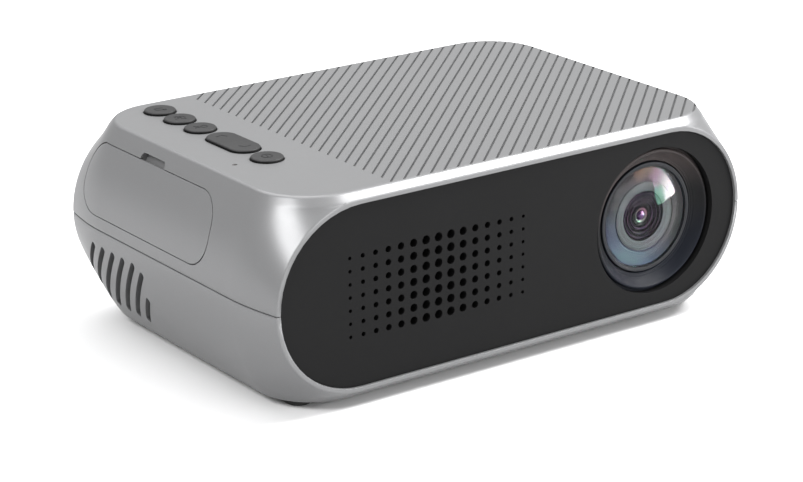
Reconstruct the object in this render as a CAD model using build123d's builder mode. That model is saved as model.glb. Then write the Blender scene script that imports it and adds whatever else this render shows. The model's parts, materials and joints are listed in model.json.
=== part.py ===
from build123d import *
import math
import os

os.makedirs("parts", exist_ok=True)

# Small LED projector with a perforated front, a rotating focus ring, five top keys
# and a tilt-out battery cover.
# Frame: +X to the right seen from the lens side, the front faces -Y, +Z up.
# Origin: centre of the footprint, on the surface that the rubber feet stand on.

# ---------------------------------------------------------------- driving dimensions (mm)
foot_proud = 1.8            # rubber feet below the flat bottom
half_h = 22.0               # body half height at the flat top and bottom
zc = foot_proud + half_h    # height of the parting plane
half_w = 63.0               # half width at mid height
plateau_w = 56.2            # half width of the flat top
corner_r = 12.6             # plan corner radius of the flat top
corner_y = 26.55            # Y of the corner centres
plateau_y = corner_y + corner_r
rim_y = 41.0                # plane of the front and rear rims
rim_half_w = 61.2           # outer stadium of the rim
rim_half_h = 20.44
rim_in_w = 60.3             # opening of the rim
rim_in_h = 19.56
mid_pull = 1.8              # narrowing of the mid-height outline at the rims
mid_len = 13.8              # length over which it narrows
wall = 2.0
seam = 0.12                 # fine gap along the parting line

panel_t = 2.0               # front and rear panels
panel_face = 40.4           # |Y| of their outer faces
panel_gap = 0.1

lens_x = 37.4               # optical axis
lens_hole_r = 16.5
hole_x0 = -21.26            # centre column of the perforated field
hole_px = 3.145             # hole pitch along X
hole_pz = 2.807             # hole pitch along Z
hole_d = [0.8, 1.0, 1.2, 1.4, 1.6, 1.8, 1.95, 1.95, 1.95, 1.8, 1.6, 1.4, 1.2, 1.0, 0.8]
hole_rows = 7

key_x = -43.6               # line of the five keys
key_r = 3.5
key_hole_r = 3.65
key_proud = 0.7
key_return_y = 31.6
key_source_y = 23.3
key_ok_y = 14.85
rocker_y = 1.73
key_power_y = -11.3
rocker_len = 15.4
rocker_wid = 7.0
led_x, led_y = -51.1, -10.7

groove_x0 = -30.3           # grooves start on this line
groove_y0 = 36.3
groove_step = 2.94
groove_angle = 41.5
groove_w = 0.45
groove_deep = 0.5

cover_cy, cover_cz = 9.1, 10.6      # centre of the battery cover, Z from the parting plane
cover_w, cover_h = 52.0, 15.2
cover_r = 6.5
cover_gap = 0.2
recess_deep = 0.8
cover_skin = 0.7
pivot_x, pivot_z = -62.9, zc + 2.95  # line the cover tilts about

vent_lean = 0.713           # Y travel of a slot per unit of height
vent_w = 1.6
vent_step = 4.25
vent_y = 10.14              # Y of the first full slot at 6.74 below the parting plane

screw_at = [(-50.0, -22.0), (12.0, -30.0), (-30.0, 34.4), (54.0, 25.0)]
foot_at = [(-50.0, -31.0), (50.0, -31.0), (-50.0, 31.0), (50.0, 31.0)]
foot_r = 3.0
foot_in = 0.6               # depth of the pockets that hold the feet
tripod_r = 2.6              # minor radius of the 1/4-20 thread

focus_travel = 2.0          # lens travel each way (mm)
focus_angle = 30.0          # ring turn each way (degrees)


# ---------------------------------------------------------------- body sections
def mid_half(y):
    # half width of the body at mid height for a station y
    s = min(1.0, (rim_y - abs(y)) / mid_len)
    return half_w - mid_pull * (1.0 - s) ** 1.6


def half_section(y, l, a, h, up):
    # closed outline of one half of the body: flat top or bottom, an arc down each side
    # to the parting plane
    xc = (a * a - l * l - h * h) / (2 * (a - l))
    rad = a - xc
    z0 = seam / 2
    x0 = xc + math.sqrt(rad * rad - z0 * z0)
    xm = xc + math.sqrt(rad * rad - h * h / 4)
    with BuildSketch(Plane.XZ.offset(-y)) as s:
        with BuildLine():
            Line((-l, zc + up * h), (l, zc + up * h))
            ThreePointArc((l, zc + up * h), (xm, zc + up * h / 2), (x0, zc + up * z0))
            Line((x0, zc + up * z0), (-x0, zc + up * z0))
            ThreePointArc((-x0, zc + up * z0), (-xm, zc + up * h / 2), (-l, zc + up * h))
        make_face()
    return s.sketch


def cap_sections(inset, side, up):
    # stations round one plan corner, from the end of the flat top to the straight side
    out = []
    r = corner_r - inset
    for deg in (0, 15, 30, 45, 60, 75, 90):
        t = math.radians(deg)
        y = side * (corner_y + r * math.cos(t))
        l = plateau_w - corner_r + 0.47 * inset + r * math.sin(t)
        out.append(half_section(y, l, mid_half(y) - inset, half_h - inset, up))
    return out


def stadium(w, h):
    # slot-shaped outline of half width w and half height h
    return SlotOverall(2 * w, 2 * h)


def body_at(inset, up=1, rims=False):
    # one half of the smooth body, its outer surface moved in by inset; with rims, the
    # sloped bands and the stadium rims at both ends are added
    with BuildPart() as b:
        with BuildSketch(Plane.XZ.offset(corner_y)):
            add(half_section(-corner_y, plateau_w + 0.47 * inset - inset, half_w - inset, half_h - inset, up))
        extrude(amount=-2 * corner_y)
        for side in (-1, 1):
            loft(sections=cap_sections(inset, side, up))
            if rims:
                loft(sections=[half_section(side * plateau_y, plateau_w - corner_r, mid_half(plateau_y), half_h, up),
                               half_section(side * rim_y, rim_half_w - rim_half_h, rim_half_w, rim_half_h, up)],
                     ruled=True)
    return b.part


def cavity_half(up):
    with BuildPart() as b:
        add(body_at(wall, up))
        for side in (-1, 1):
            with BuildSketch(Plane.XZ.offset(-side * (rim_y + 1.0))):
                with Locations((0, zc)):
                    stadium(rim_in_w, rim_in_h)
            extrude(amount=side * (rim_y + 1.0 - (panel_face - panel_t)))
            with BuildSketch(Plane.XZ.offset(-side * (panel_face - panel_t + 0.5))):
                with Locations((0, zc)):
                    stadium(rim_in_w - 1.2, rim_in_h - 1.2)
            extrude(amount=side * 6.0)
    return b.part


upper_outer = body_at(0.0, 1, rims=True)
with BuildPart() as lower_half:
    mirror(upper_outer, about=Plane.XY.offset(zc))
lower_outer = lower_half.part
recess_body = body_at(recess_deep)
skin_body = body_at(cover_skin)
pocket_body = body_at(1.6)
inner_body = body_at(wall)

# prism of the cover outline through the left side
with BuildPart() as cover_window:
    with BuildSketch(Plane.YZ.offset(-66)):
        with Locations((cover_cy, zc + cover_cz)):
            RectangleRounded(cover_w + cover_gap, cover_h + cover_gap, cover_r)
    extrude(amount=24)
with BuildPart() as cover_recess:
    add(cover_window.part)
    add(recess_body, mode=Mode.SUBTRACT)
with BuildPart() as cover_mouth:
    with BuildSketch(Plane.YZ.offset(-66)):
        with Locations((cover_cy, zc + cover_cz)):
            RectangleRounded(cover_w - 2.2, cover_h - 2.2, cover_r - 1.2)
    extrude(amount=14)
with BuildPart() as finger_pocket:
    with BuildSketch(Plane.YZ.offset(-66)):
        with Locations((10.3, zc + 18.0)):
            RectangleRounded(9.6, 3.2, 1.1)
    extrude(amount=24)
    add(pocket_body, mode=Mode.SUBTRACT)

# ---------------------------------------------------------------- top shell
with BuildPart() as top_shell:
    add(upper_outer)
    add(cavity_half(1), mode=Mode.SUBTRACT)
    # screw bosses
    with BuildSketch(Plane.XY.offset(zc + seam / 2)):
        with Locations(*screw_at):
            Circle(3.0)
    extrude(amount=half_h - wall + 0.2)
    with BuildSketch(Plane.XY.offset(zc - 0.5)):
        with Locations(*screw_at):
            Circle(1.05)
    extrude(amount=9.0, mode=Mode.SUBTRACT)
    # posts that the keypad board hangs from
    with BuildSketch(Plane.XY.offset(zc + 17.2)):
        with Locations((-50.8, 19.5), (-50.8, -3.0), (-38.2, 19.2), (-38.2, -5.5)):
            Circle(1.0)
    extrude(amount=half_h - wall - 17.2 + 0.2)
    # battery cover seat, its opening and the finger pocket above it
    add(cover_recess.part, mode=Mode.SUBTRACT)
    add(cover_mouth.part, mode=Mode.SUBTRACT)
    add(finger_pocket.part, mode=Mode.SUBTRACT)
    # key holes and the indicator hole
    with BuildSketch(Plane.XY.offset(zc + half_h + 1)):
        with Locations((key_x, key_return_y), (key_x, key_source_y), (key_x, key_ok_y), (key_x, key_power_y)):
            Circle(key_hole_r)
        with Locations((key_x, rocker_y)):
            SlotOverall(rocker_len + 0.5, rocker_wid + 0.35, rotation=90)
        with Locations((led_x, led_y)):
            Circle(0.55)
    extrude(amount=-4.0, mode=Mode.SUBTRACT)
    # fine diagonal grooves across the flat top
    with BuildSketch(Plane.XY.offset(zc + half_h)) as groove_sketch:
        glen = 130.0
        ga = math.radians(groove_angle)
        for k in range(52):
            sx, sy = groove_x0, groove_y0 - groove_step * k
            with Locations((sx + 0.5 * glen * math.cos(ga), sy + 0.5 * glen * math.sin(ga))):
                Rectangle(glen, groove_w, rotation=groove_angle)
        with Locations((12.2, 0)):
            RectangleRounded(2 * (plateau_w - 13.2) + 0.0, 2 * (plateau_y - 1.0), corner_r - 1.0, mode=Mode.INTERSECT)
    extrude(amount=-groove_deep, mode=Mode.SUBTRACT)
    # grooves that take the tongues of the bottom shell
    with BuildSketch(Plane.XY.offset(zc)):
        with Locations((-61.45, 0), (61.45, 0)):
            Rectangle(1.1, 48.4)
    extrude(amount=1.35, mode=Mode.SUBTRACT)
top_shell.part.label = "top_shell"
export_step(top_shell.part, "parts/top_shell.step")

# ---------------------------------------------------------------- bottom shell
with BuildPart() as bottom_shell:
    add(lower_outer)
    add(cavity_half(-1), mode=Mode.SUBTRACT)
    # tongues
    with BuildSketch(Plane.XY.offset(zc - 1.0)):
        with Locations((-61.45, 0), (61.45, 0)):
            Rectangle(0.9, 48.0)
    extrude(amount=2.2)
    # screw columns with deep counterbores
    with BuildSketch(Plane.XY.offset(zc - seam / 2)):
        with Locations(*screw_at):
            Circle(3.3)
    extrude(amount=-(half_h - wall + 0.2))
    with BuildSketch(Plane.XY.offset(zc - half_h - 1)):
        with Locations(*screw_at):
            Circle(2.6)
    extrude(amount=half_h + 1 - 6.0, mode=Mode.SUBTRACT)
    with BuildSketch(Plane.XY.offset(zc + 1)):
        with Locations(*screw_at):
            Circle(1.35)
    extrude(amount=-9.0, mode=Mode.SUBTRACT)
    # columns for the main board
    with BuildSketch(Plane.XY.offset(zc - 1.0)):
        with Locations((-20.5, -21.5), (15.5, -21.5), (-20.5, 24.0), (15.5, 24.0)):
            Circle(2.0)
    extrude(amount=-(half_h - wall - 1.0 + 0.2))
    with BuildSketch(Plane.XY.offset(zc)):
        with Locations((-20.5, -21.5), (15.5, -21.5), (-20.5, 24.0), (15.5, 24.0)):
            Circle(0.8)
    extrude(amount=-8.0, mode=Mode.SUBTRACT)
    # pads under the blower and the light box
    with BuildSketch(Plane.XY.offset(zc - half_h + wall - 0.2)):
        with Locations((-49.0, 1.0), (-28.0, 1.0), (-28.0, 27.0), (-47.0, 27.0)):
            Rectangle(4, 4)
    extrude(amount=0.2 + 1.7)
    with BuildSketch(Plane.XY.offset(zc - half_h + wall - 0.2)):
        with Locations((24.0, -6.0), (50.0, -6.0), (24.0, 14.0), (50.0, 14.0)):
            Rectangle(5, 5)
    extrude(amount=0.2 + 5.0)
    # boss for the tripod insert
    with BuildSketch(Plane.XY.offset(zc - half_h + wall - 0.2)):
        Circle(6.6)
    extrude(amount=6.2)
    with BuildSketch(Plane.XY.offset(zc - half_h - 1)):
        Circle(4.5)
    extrude(amount=1 + 7.0, mode=Mode.SUBTRACT)
    # pockets for the feet
    with BuildSketch(Plane.XY.offset(zc - half_h)):
        with Locations(*foot_at):
            Circle(foot_r + 0.05)
    extrude(amount=foot_in, mode=Mode.SUBTRACT)
    # intake slots under the light engine
    with BuildSketch(Plane.XY.offset(zc - half_h - 1)):
        for i in range(9):
            with Locations((lens_x - 14.4 + 3.6 * i, 4.0)):
                SlotOverall(22.0, 1.8, rotation=90)
    extrude(amount=wall + 2.0, mode=Mode.SUBTRACT)
    # leaning exhaust slots in the left side, towards the rear
    with BuildSketch(Plane.YZ.offset(-66)):
        for k in range(-1, 6):
            z1 = -11.0 if k == -1 else (-4.96 if k == 0 else -3.75)
            z2 = {4: -17.0, 5: -13.0}.get(k, -18.1)
            y1 = vent_y + vent_step * k + vent_lean * (-6.74 - z1)
            y2 = vent_y + vent_step * k + vent_lean * (-6.74 - z2)
            with Locations(((y1 + y2) / 2, zc + (z1 + z2) / 2)):
                SlotOverall(math.hypot(y2 - y1, z2 - z1), vent_w,
                            rotation=math.degrees(math.atan2(z2 - z1, y2 - y1)))
    extrude(amount=16.0, mode=Mode.SUBTRACT)
bottom_shell.part.label = "bottom_shell"
export_step(bottom_shell.part, "parts/bottom_shell.step")

# ---------------------------------------------------------------- front panel
with BuildPart() as front_panel:
    with BuildSketch(Plane.XZ.offset(panel_face)):
        with Locations((0, zc)):
            stadium(rim_in_w - panel_gap, rim_in_h - panel_gap)
        with Locations((lens_x, zc)):
            Circle(lens_hole_r, mode=Mode.SUBTRACT)
        for c in range(15):
            for r in range(hole_rows):
                with Locations((hole_x0 + (c - 7) * hole_px, zc + (r - 3) * hole_pz)):
                    Circle(hole_d[c] / 2, mode=Mode.SUBTRACT)
    extrude(amount=-panel_t)
    # snap tongues behind the panel
    with BuildSketch(Plane.XZ.offset(panel_face - panel_t + 0.2)):
        with Locations((-40, zc + 16.4), (10, zc + 16.4), (-40, zc - 16.4), (10, zc - 16.4)):
            Rectangle(6.0, 1.4)
    extrude(amount=-1.6)
front_panel.part.label = "front_panel"
export_step(front_panel.part, "parts/front_panel.step")

# fine cloth-like mesh sheet behind the holes
with BuildPart() as speaker_mesh:
    with BuildSketch(Plane.XZ.offset(panel_face - panel_t - 0.02)):
        with Locations((hole_x0, zc)):
            RectangleRounded(47.5, 20.5, 3.0)
    extrude(amount=-0.3)
speaker_mesh.part.label = "speaker_mesh"
export_step(speaker_mesh.part, "parts/speaker_mesh.step")

# ---------------------------------------------------------------- rear panel with port openings
hdmi_x, hdmi_z = -12.0, zc + 3.4
usb_x, usb_z = 7.0, zc + 3.8
jack_x = (-18.5, -10.2)
jack_z = zc - 4.2
card_x, card_z = 0.6, zc - 2.1
dc_x, dc_z = 12.6, zc - 5.6
ir_x, ir_z = -40.0, zc + 6.0
with BuildPart() as rear_panel:
    with BuildSketch(Plane.XZ.offset(-(panel_face - panel_t))):
        with Locations((0, zc)):
            stadium(rim_in_w - panel_gap, rim_in_h - panel_gap)
        with Locations((hdmi_x, hdmi_z)):
            RectangleRounded(15.5, 6.1, 0.8, mode=Mode.SUBTRACT)
        with Locations((usb_x, usb_z)):
            RectangleRounded(14.5, 6.9, 0.5, mode=Mode.SUBTRACT)
        with Locations((jack_x[0], jack_z), (jack_x[1], jack_z)):
            Circle(3.2, mode=Mode.SUBTRACT)
        with Locations((card_x, card_z)):
            RectangleRounded(12.4, 1.7, 0.4, mode=Mode.SUBTRACT)
        with Locations((dc_x, dc_z)):
            Circle(3.9, mode=Mode.SUBTRACT)
        with Locations((ir_x, ir_z)):
            RectangleRounded(8.2, 5.2, 1.2, mode=Mode.SUBTRACT)
        for i in range(9):
            with Locations((26.0 + 3.4 * i, zc)):
                SlotOverall(20.0, 1.8, rotation=90, mode=Mode.SUBTRACT)
    extrude(amount=-panel_t)
rear_panel.part.label = "rear_panel"
export_step(rear_panel.part, "parts/rear_panel.step")

with BuildPart() as ir_window:
    with BuildSketch(Plane.XZ.offset(-(panel_face - panel_t))):
        with Locations((ir_x, ir_z)):
            RectangleRounded(8.1, 5.1, 1.15)
    extrude(amount=-panel_t)
    with BuildSketch(Plane.XZ.offset(-(panel_face - panel_t - 0.8))):
        with Locations((ir_x, ir_z)):
            RectangleRounded(9.6, 6.6, 1.6)
    extrude(amount=-0.8)
ir_window.part.label = "ir_window"
export_step(ir_window.part, "parts/ir_window.step")

# ---------------------------------------------------------------- battery cover
with BuildPart() as battery_cover:
    with BuildSketch(Plane.YZ.offset(-66)):
        with Locations((cover_cy, zc + cover_cz)):
            RectangleRounded(cover_w - cover_gap, cover_h - cover_gap, cover_r)
    extrude(amount=24)
    add(upper_outer, mode=Mode.INTERSECT)
    add(skin_body, mode=Mode.SUBTRACT)
    # the top edge is trimmed to the arc it swings on
    with BuildSketch(Plane.XZ.offset(60)):
        with Locations((pivot_x, pivot_z)):
            Circle(15.84)
    extrude(amount=-120, mode=Mode.INTERSECT)
with BuildPart() as cover_rib:
    with BuildSketch(Plane.YZ.offset(-66)):
        with Locations((cover_cy, zc + 10.2)):
            RectangleRounded(42.0, 7.6, 2.4)
            RectangleRounded(40.0, 5.6, 1.4, mode=Mode.SUBTRACT)
        with Locations((10.3, zc + 14.6)):
            Rectangle(4.0, 2.6)
    extrude(amount=24)
    add(body_at(0.3), mode=Mode.INTERSECT)
    add(inner_body, mode=Mode.SUBTRACT)
with BuildPart() as cover_hook:
    # curved hooks that hold the lower edge and swing about the tilt line
    for hy in (-4.0, 22.0):
        with BuildSketch(Plane.XZ.offset(-hy)) as hook_sketch:
            with BuildLine():
                a1, a2 = math.radians(-26), math.radians(62)
                p = lambda r, a: (pivot_x + r * math.cos(a), pivot_z + r * math.sin(a))
                am = (a1 + a2) / 2
                ThreePointArc(p(2.6, a1), p(2.6, am), p(2.6, a2))
                Line(p(2.6, a2), p(3.4, a2))
                ThreePointArc(p(3.4, a2), p(3.4, am), p(3.4, a1))
                Line(p(3.4, a1), p(2.6, a1))
            make_face()
            with Locations((pivot_x + 1.25, pivot_z + 2.55)):
                Rectangle(1.7, 1.0)
        extrude(amount=-3.0)
with BuildPart() as cover_all:
    add(battery_cover.part)
    add(cover_rib.part)
    add(cover_hook.part)
battery_cover = cover_all
battery_cover.part.label = "battery_cover"
export_step(battery_cover.part, "parts/battery_cover.step")

# ---------------------------------------------------------------- feet, case screws, tripod insert
with BuildPart() as rubber_feet:
    with BuildSketch(Plane.XY.offset(0)):
        with Locations(*foot_at):
            Circle(foot_r)
    extrude(amount=foot_proud + foot_in)
    chamfer(rubber_feet.edges().filter_by(GeomType.CIRCLE).group_by(Axis.Z)[0], 0.5)
rubber_feet.part.label = "rubber_feet"
export_step(rubber_feet.part, "parts/rubber_feet.step")

with BuildPart() as case_screws:
    with BuildSketch(Plane.XY.offset(zc - 6.0)):
        with Locations(*screw_at):
            Circle(2.3)
    extrude(amount=-1.7)
    with BuildSketch(Plane.XY.offset(zc - 6.2)):
        with Locations(*screw_at):
            Circle(1.05)
    extrude(amount=13.0)
    with BuildSketch(Plane.XY.offset(zc - 7.7)):
        with Locations(*screw_at):
            Rectangle(2.6, 0.6)
            Rectangle(0.6, 2.6)
    extrude(amount=0.8, mode=Mode.SUBTRACT)
case_screws.part.label = "case_screws"
export_step(case_screws.part, "parts/case_screws.step")

with BuildPart() as tripod_insert:
    with BuildSketch(Plane.XY.offset(zc - half_h)):
        Circle(4.5)
        Circle(tripod_r, mode=Mode.SUBTRACT)
    extrude(amount=6.2)
    with BuildSketch(Plane.XY.offset(zc - half_h + 6.2)):
        Circle(4.5)
    extrude(amount=0.8)
    chamfer(tripod_insert.edges().filter_by(GeomType.CIRCLE).group_by(Axis.Z)[0].sort_by(SortBy.RADIUS)[0], 0.35)
tripod_insert.part.label = "tripod_insert"
export_step(tripod_insert.part, "parts/tripod_insert.step")

# ---------------------------------------------------------------- keys
key_top = zc + half_h + key_proud
flange_z = zc + 19.05
for key_name, ky in (("button_return", key_return_y), ("button_source", key_source_y),
                     ("button_ok", key_ok_y), ("button_power", key_power_y)):
    with BuildPart() as key:
        with BuildSketch(Plane.XY.offset(flange_z)):
            with Locations((key_x, ky)):
                Circle(key_r + 0.5)
        extrude(amount=0.8)
        with BuildSketch(Plane.XY.offset(flange_z)):
            with Locations((key_x, ky)):
                Circle(key_r)
        extrude(amount=key_top - flange_z)
        chamfer(key.edges().filter_by(GeomType.CIRCLE).group_by(Axis.Z)[-1], 0.15)
        with BuildSketch(Plane.XY.offset(flange_z)):
            with Locations((key_x, ky)):
                Circle(1.2)
        extrude(amount=-0.3)
    key.part.label = key_name
    export_step(key.part, "parts/" + key_name + ".step")

with BuildPart() as rocker_key:
    with BuildSketch(Plane.XY.offset(zc + 19.85)):
        with Locations((key_x, rocker_y)):
            SlotOverall(rocker_len, rocker_wid, rotation=90)
    extrude(amount=key_top - zc - 19.85)
    chamfer(rocker_key.edges().group_by(Axis.Z)[-1], 0.15)
    with BuildSketch(Plane.XY.offset(flange_z)):
        with Locations((key_x, rocker_y)):
            Rectangle(9.2, 5.6)
            with Locations((0, 5.5), (0, -5.5)):
                Circle(1.1)
    extrude(amount=0.85)
    with BuildSketch(Plane.XY.offset(flange_z - 0.25)):
        with Locations((key_x, rocker_y + 5.5), (key_x, rocker_y - 5.5)):
            Circle(1.1)
    extrude(amount=0.4)
rocker_key.part.label = "rocker_key"
export_step(rocker_key.part, "parts/rocker_key.step")

# board under the keys, its switches and the indicator
with BuildPart() as keypad_board:
    with BuildSketch(Plane.XY.offset(zc + 16.2)):
        with Locations((-44.65, 9.5)):
            RectangleRounded(15.3, 51.6, 3.5)
    extrude(amount=1.0)
keypad_board.part.label = "keypad_board"
export_step(keypad_board.part, "parts/keypad_board.step")

switch_at = [(key_x, key_return_y), (key_x, key_source_y), (key_x, key_ok_y), (key_x, key_power_y),
             (key_x, rocker_y + 5.5), (key_x, rocker_y - 5.5)]
with BuildPart() as tact_switches:
    with BuildSketch(Plane.XY.offset(zc + 17.2)):
        with Locations(*switch_at):
            RectangleRounded(3.8, 3.8, 0.3)
    extrude(amount=0.8)
    with BuildSketch(Plane.XY.offset(zc + 17.9)):
        with Locations(*switch_at):
            Circle(0.9)
    extrude(amount=0.4)
tact_switches.part.label = "tact_switches"
export_step(tact_switches.part, "parts/tact_switches.step")

with BuildPart() as indicator_light_pipe:
    with BuildSketch(Plane.XY.offset(zc + 17.2)):
        with Locations((led_x, led_y)):
            Circle(0.9)
    extrude(amount=2.6)
    with BuildSketch(Plane.XY.offset(zc + 19.6)):
        with Locations((led_x, led_y)):
            Circle(0.5)
    extrude(amount=half_h - 19.6 - 0.1)
indicator_light_pipe.part.label = "indicator_light_pipe"
export_step(indicator_light_pipe.part, "parts/indicator_light_pipe.step")

# ---------------------------------------------------------------- focus ring: turns about the optical axis
axis_plane = Plane(origin=(lens_x, 0, zc), x_dir=(1, 0, 0), z_dir=(0, -1, 0))
pin_y = 25.0                # distance of the drive pins behind the XZ plane, towards -Y


def on_axis(y):
    return axis_plane.offset(-y)


ring_front = -39.55
with BuildPart() as focus_ring:
    with BuildSketch(Plane(origin=(lens_x, 0, zc), x_dir=(1, 0, 0), z_dir=(0, 0, 1))) as ring_profile:
        with BuildLine():
            Polyline((15.1, ring_front), (15.5, ring_front - 0.0), (15.8, ring_front + 0.3), (15.8, -38.25),
                     (17.3, -38.25), (17.3, -37.25), (15.8, -37.25), (15.8, -34.0), (14.9, -34.0),
                     (14.9, -15.4), (13.67, -15.4), (13.67, -35.4), (12.75, -35.4), (12.65, -37.0),
                     (15.1, ring_front))
        make_face()
    revolve(axis=Axis((lens_x, 0, zc), (0, 1, 0)))
    # three helical slots: each is a run of overlapping radial holes along the helix
    for j in range(3):
        for i in range(-17, 18):
            f = i / 15.0
            ang = 90 + 120 * j - focus_angle * f
            yy = -pin_y + focus_travel * f
            d = (math.cos(math.radians(ang)), 0, math.sin(math.radians(ang)))
            with BuildSketch(Plane(origin=(lens_x, yy, zc), x_dir=(0, 1, 0), z_dir=d).offset(13.2)):
                Circle(1.0)
            extrude(amount=2.2, mode=Mode.SUBTRACT)
focus_ring.part.label = "focus_ring"
export_step(focus_ring.part, "parts/focus_ring.step")

# ---------------------------------------------------------------- fixed lens tube with straight slots and a flange
with BuildPart() as lens_mount_tube:
    with BuildSketch(on_axis(-34.9)):
        Circle(13.6)
        Circle(12.47, mode=Mode.SUBTRACT)
    extrude(amount=-(34.9 - 13.0))
    with BuildSketch(on_axis(-15.0)):
        RectangleRounded(34.0, 28.4, 2.0)
        Circle(12.47, mode=Mode.SUBTRACT)
        with Locations((14.8, 11.6), (-14.8, 11.6), (14.8, -11.6), (-14.8, -11.6)):
            Circle(1.1, mode=Mode.SUBTRACT)
    extrude(amount=-2.0)
    for j in range(3):
        ang = 90 + 120 * j
        d = (math.cos(math.radians(ang)), 0, math.sin(math.radians(ang)))
        with BuildSketch(Plane(origin=(lens_x, -pin_y, zc), x_dir=(0, 1, 0), z_dir=d).offset(12.0)):
            SlotOverall(2.0 + 2 * focus_travel + 0.6, 2.0)
        extrude(amount=2.2, mode=Mode.SUBTRACT)
lens_mount_tube.part.label = "lens_mount_tube"
export_step(lens_mount_tube.part, "parts/lens_mount_tube.step")

# ---------------------------------------------------------------- sliding barrel and the glass in it
with BuildPart() as lens_barrel:
    with BuildSketch(Plane(origin=(lens_x, 0, zc), x_dir=(1, 0, 0), z_dir=(0, 0, 1))):
        with BuildLine():
            Polyline((12.4, -37.3), (12.4, -15.2), (9.2, -15.2), (9.2, -16.4), (10.0, -16.4), (10.0, -20.4),
                     (8.6, -20.4), (8.6, -21.4), (9.4, -21.4), (9.4, -25.6), (7.2, -25.6), (7.2, -26.6),
                     (5.5, -27.6), (5.5, -28.2), (8.2, -28.2), (8.2, -29.6), (10.6, -31.2), (10.6, -33.0),
                     (11.75, -33.0), (11.75, -37.3), (12.4, -37.3))
        make_face()
    revolve(axis=Axis((lens_x, 0, zc), (0, 1, 0)))
    for j in range(3):
        ang = 90 + 120 * j
        d = (math.cos(math.radians(ang)), 0, math.sin(math.radians(ang)))
        with BuildSketch(Plane(origin=(lens_x, -pin_y, zc), x_dir=(0, 1, 0), z_dir=d).offset(11.0)):
            Circle(0.8)
        extrude(amount=2.0, mode=Mode.SUBTRACT)
lens_barrel.part.label = "lens_barrel"
export_step(lens_barrel.part, "parts/lens_barrel.step")

with BuildPart() as focus_drive_pins:
    for j in range(3):
        ang = 90 + 120 * j
        d = (math.cos(math.radians(ang)), 0, math.sin(math.radians(ang)))
        with BuildSketch(Plane(origin=(lens_x, -pin_y, zc), x_dir=(0, 1, 0), z_dir=d).offset(11.0)):
            Circle(0.8)
        extrude(amount=3.6)
focus_drive_pins.part.label = "focus_drive_pins"
export_step(focus_drive_pins.part, "parts/focus_drive_pins.step")

with BuildPart() as lens_retaining_ring:
    with BuildSketch(Plane(origin=(lens_x, 0, zc), x_dir=(1, 0, 0), z_dir=(0, 0, 1))):
        with BuildLine():
            Polyline((11.75, -37.3), (11.75, -36.5), (11.1, -36.5), (11.35, -37.3), (11.75, -37.3))
        make_face()
    revolve(axis=Axis((lens_x, 0, zc), (0, 1, 0)))
lens_retaining_ring.part.label = "lens_retaining_ring"
export_step(lens_retaining_ring.part, "parts/lens_retaining_ring.step")


def on_cap(y0, r1, y1):
    # point half way out on the arc through (0, y0) and (r1, y1) whose centre is on the axis
    sag = y1 - y0
    rad = (r1 * r1 + sag * sag) / (2 * abs(sag))
    rise = rad - math.sqrt(rad * rad - r1 * r1 / 4)
    return (r1 / 2, y0 + math.copysign(rise, sag))


lens_axis = Axis((lens_x, 0, zc), (0, 1, 0))
with BuildPart() as front_lens:
    with BuildSketch(Plane(origin=(lens_x, 0, zc), x_dir=(1, 0, 0), z_dir=(0, 0, 1))):
        with BuildLine():
            Line((0, -38.6), (0, -33.9))
            ThreePointArc((0, -33.9), on_cap(-33.9, 10.6, -33.1), (10.6, -33.1))
            Line((10.6, -33.1), (11.7, -33.1))
            Line((11.7, -33.1), (11.7, -36.4))
            Line((11.7, -36.4), (11.0, -36.4))
            ThreePointArc((11.0, -36.4), on_cap(-38.6, 11.0, -36.4), (0, -38.6))
        make_face()
    revolve(axis=lens_axis)
front_lens.part.label = "front_lens"
export_step(front_lens.part, "parts/front_lens.step")

with BuildPart() as middle_lens:
    with BuildSketch(Plane(origin=(lens_x, 0, zc), x_dir=(1, 0, 0), z_dir=(0, 0, 1))):
        with BuildLine():
            Line((0, -24.6), (0, -22.4))
            ThreePointArc((0, -22.4), on_cap(-22.4, 9.3, -21.5), (9.3, -21.5))
            Line((9.3, -21.5), (9.3, -25.5))
            ThreePointArc((9.3, -25.5), on_cap(-24.6, 9.3, -25.5), (0, -24.6))
        make_face()
    revolve(axis=lens_axis)
middle_lens.part.label = "middle_lens"
export_step(middle_lens.part, "parts/middle_lens.step")

with BuildPart() as rear_lens:
    with BuildSketch(Plane(origin=(lens_x, 0, zc), x_dir=(1, 0, 0), z_dir=(0, 0, 1))):
        with BuildLine():
            Line((0, -20.8), (0, -15.4))
            ThreePointArc((0, -15.4), on_cap(-15.4, 9.0, -16.5), (9.0, -16.5))
            Line((9.0, -16.5), (9.9, -16.5))
            Line((9.9, -16.5), (9.9, -20.3))
            Line((9.9, -20.3), (8.4, -20.3))
            ThreePointArc((8.4, -20.3), on_cap(-20.8, 8.4, -20.3), (0, -20.8))
        make_face()
    revolve(axis=lens_axis)
rear_lens.part.label = "rear_lens"
export_step(rear_lens.part, "parts/rear_lens.step")

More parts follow.
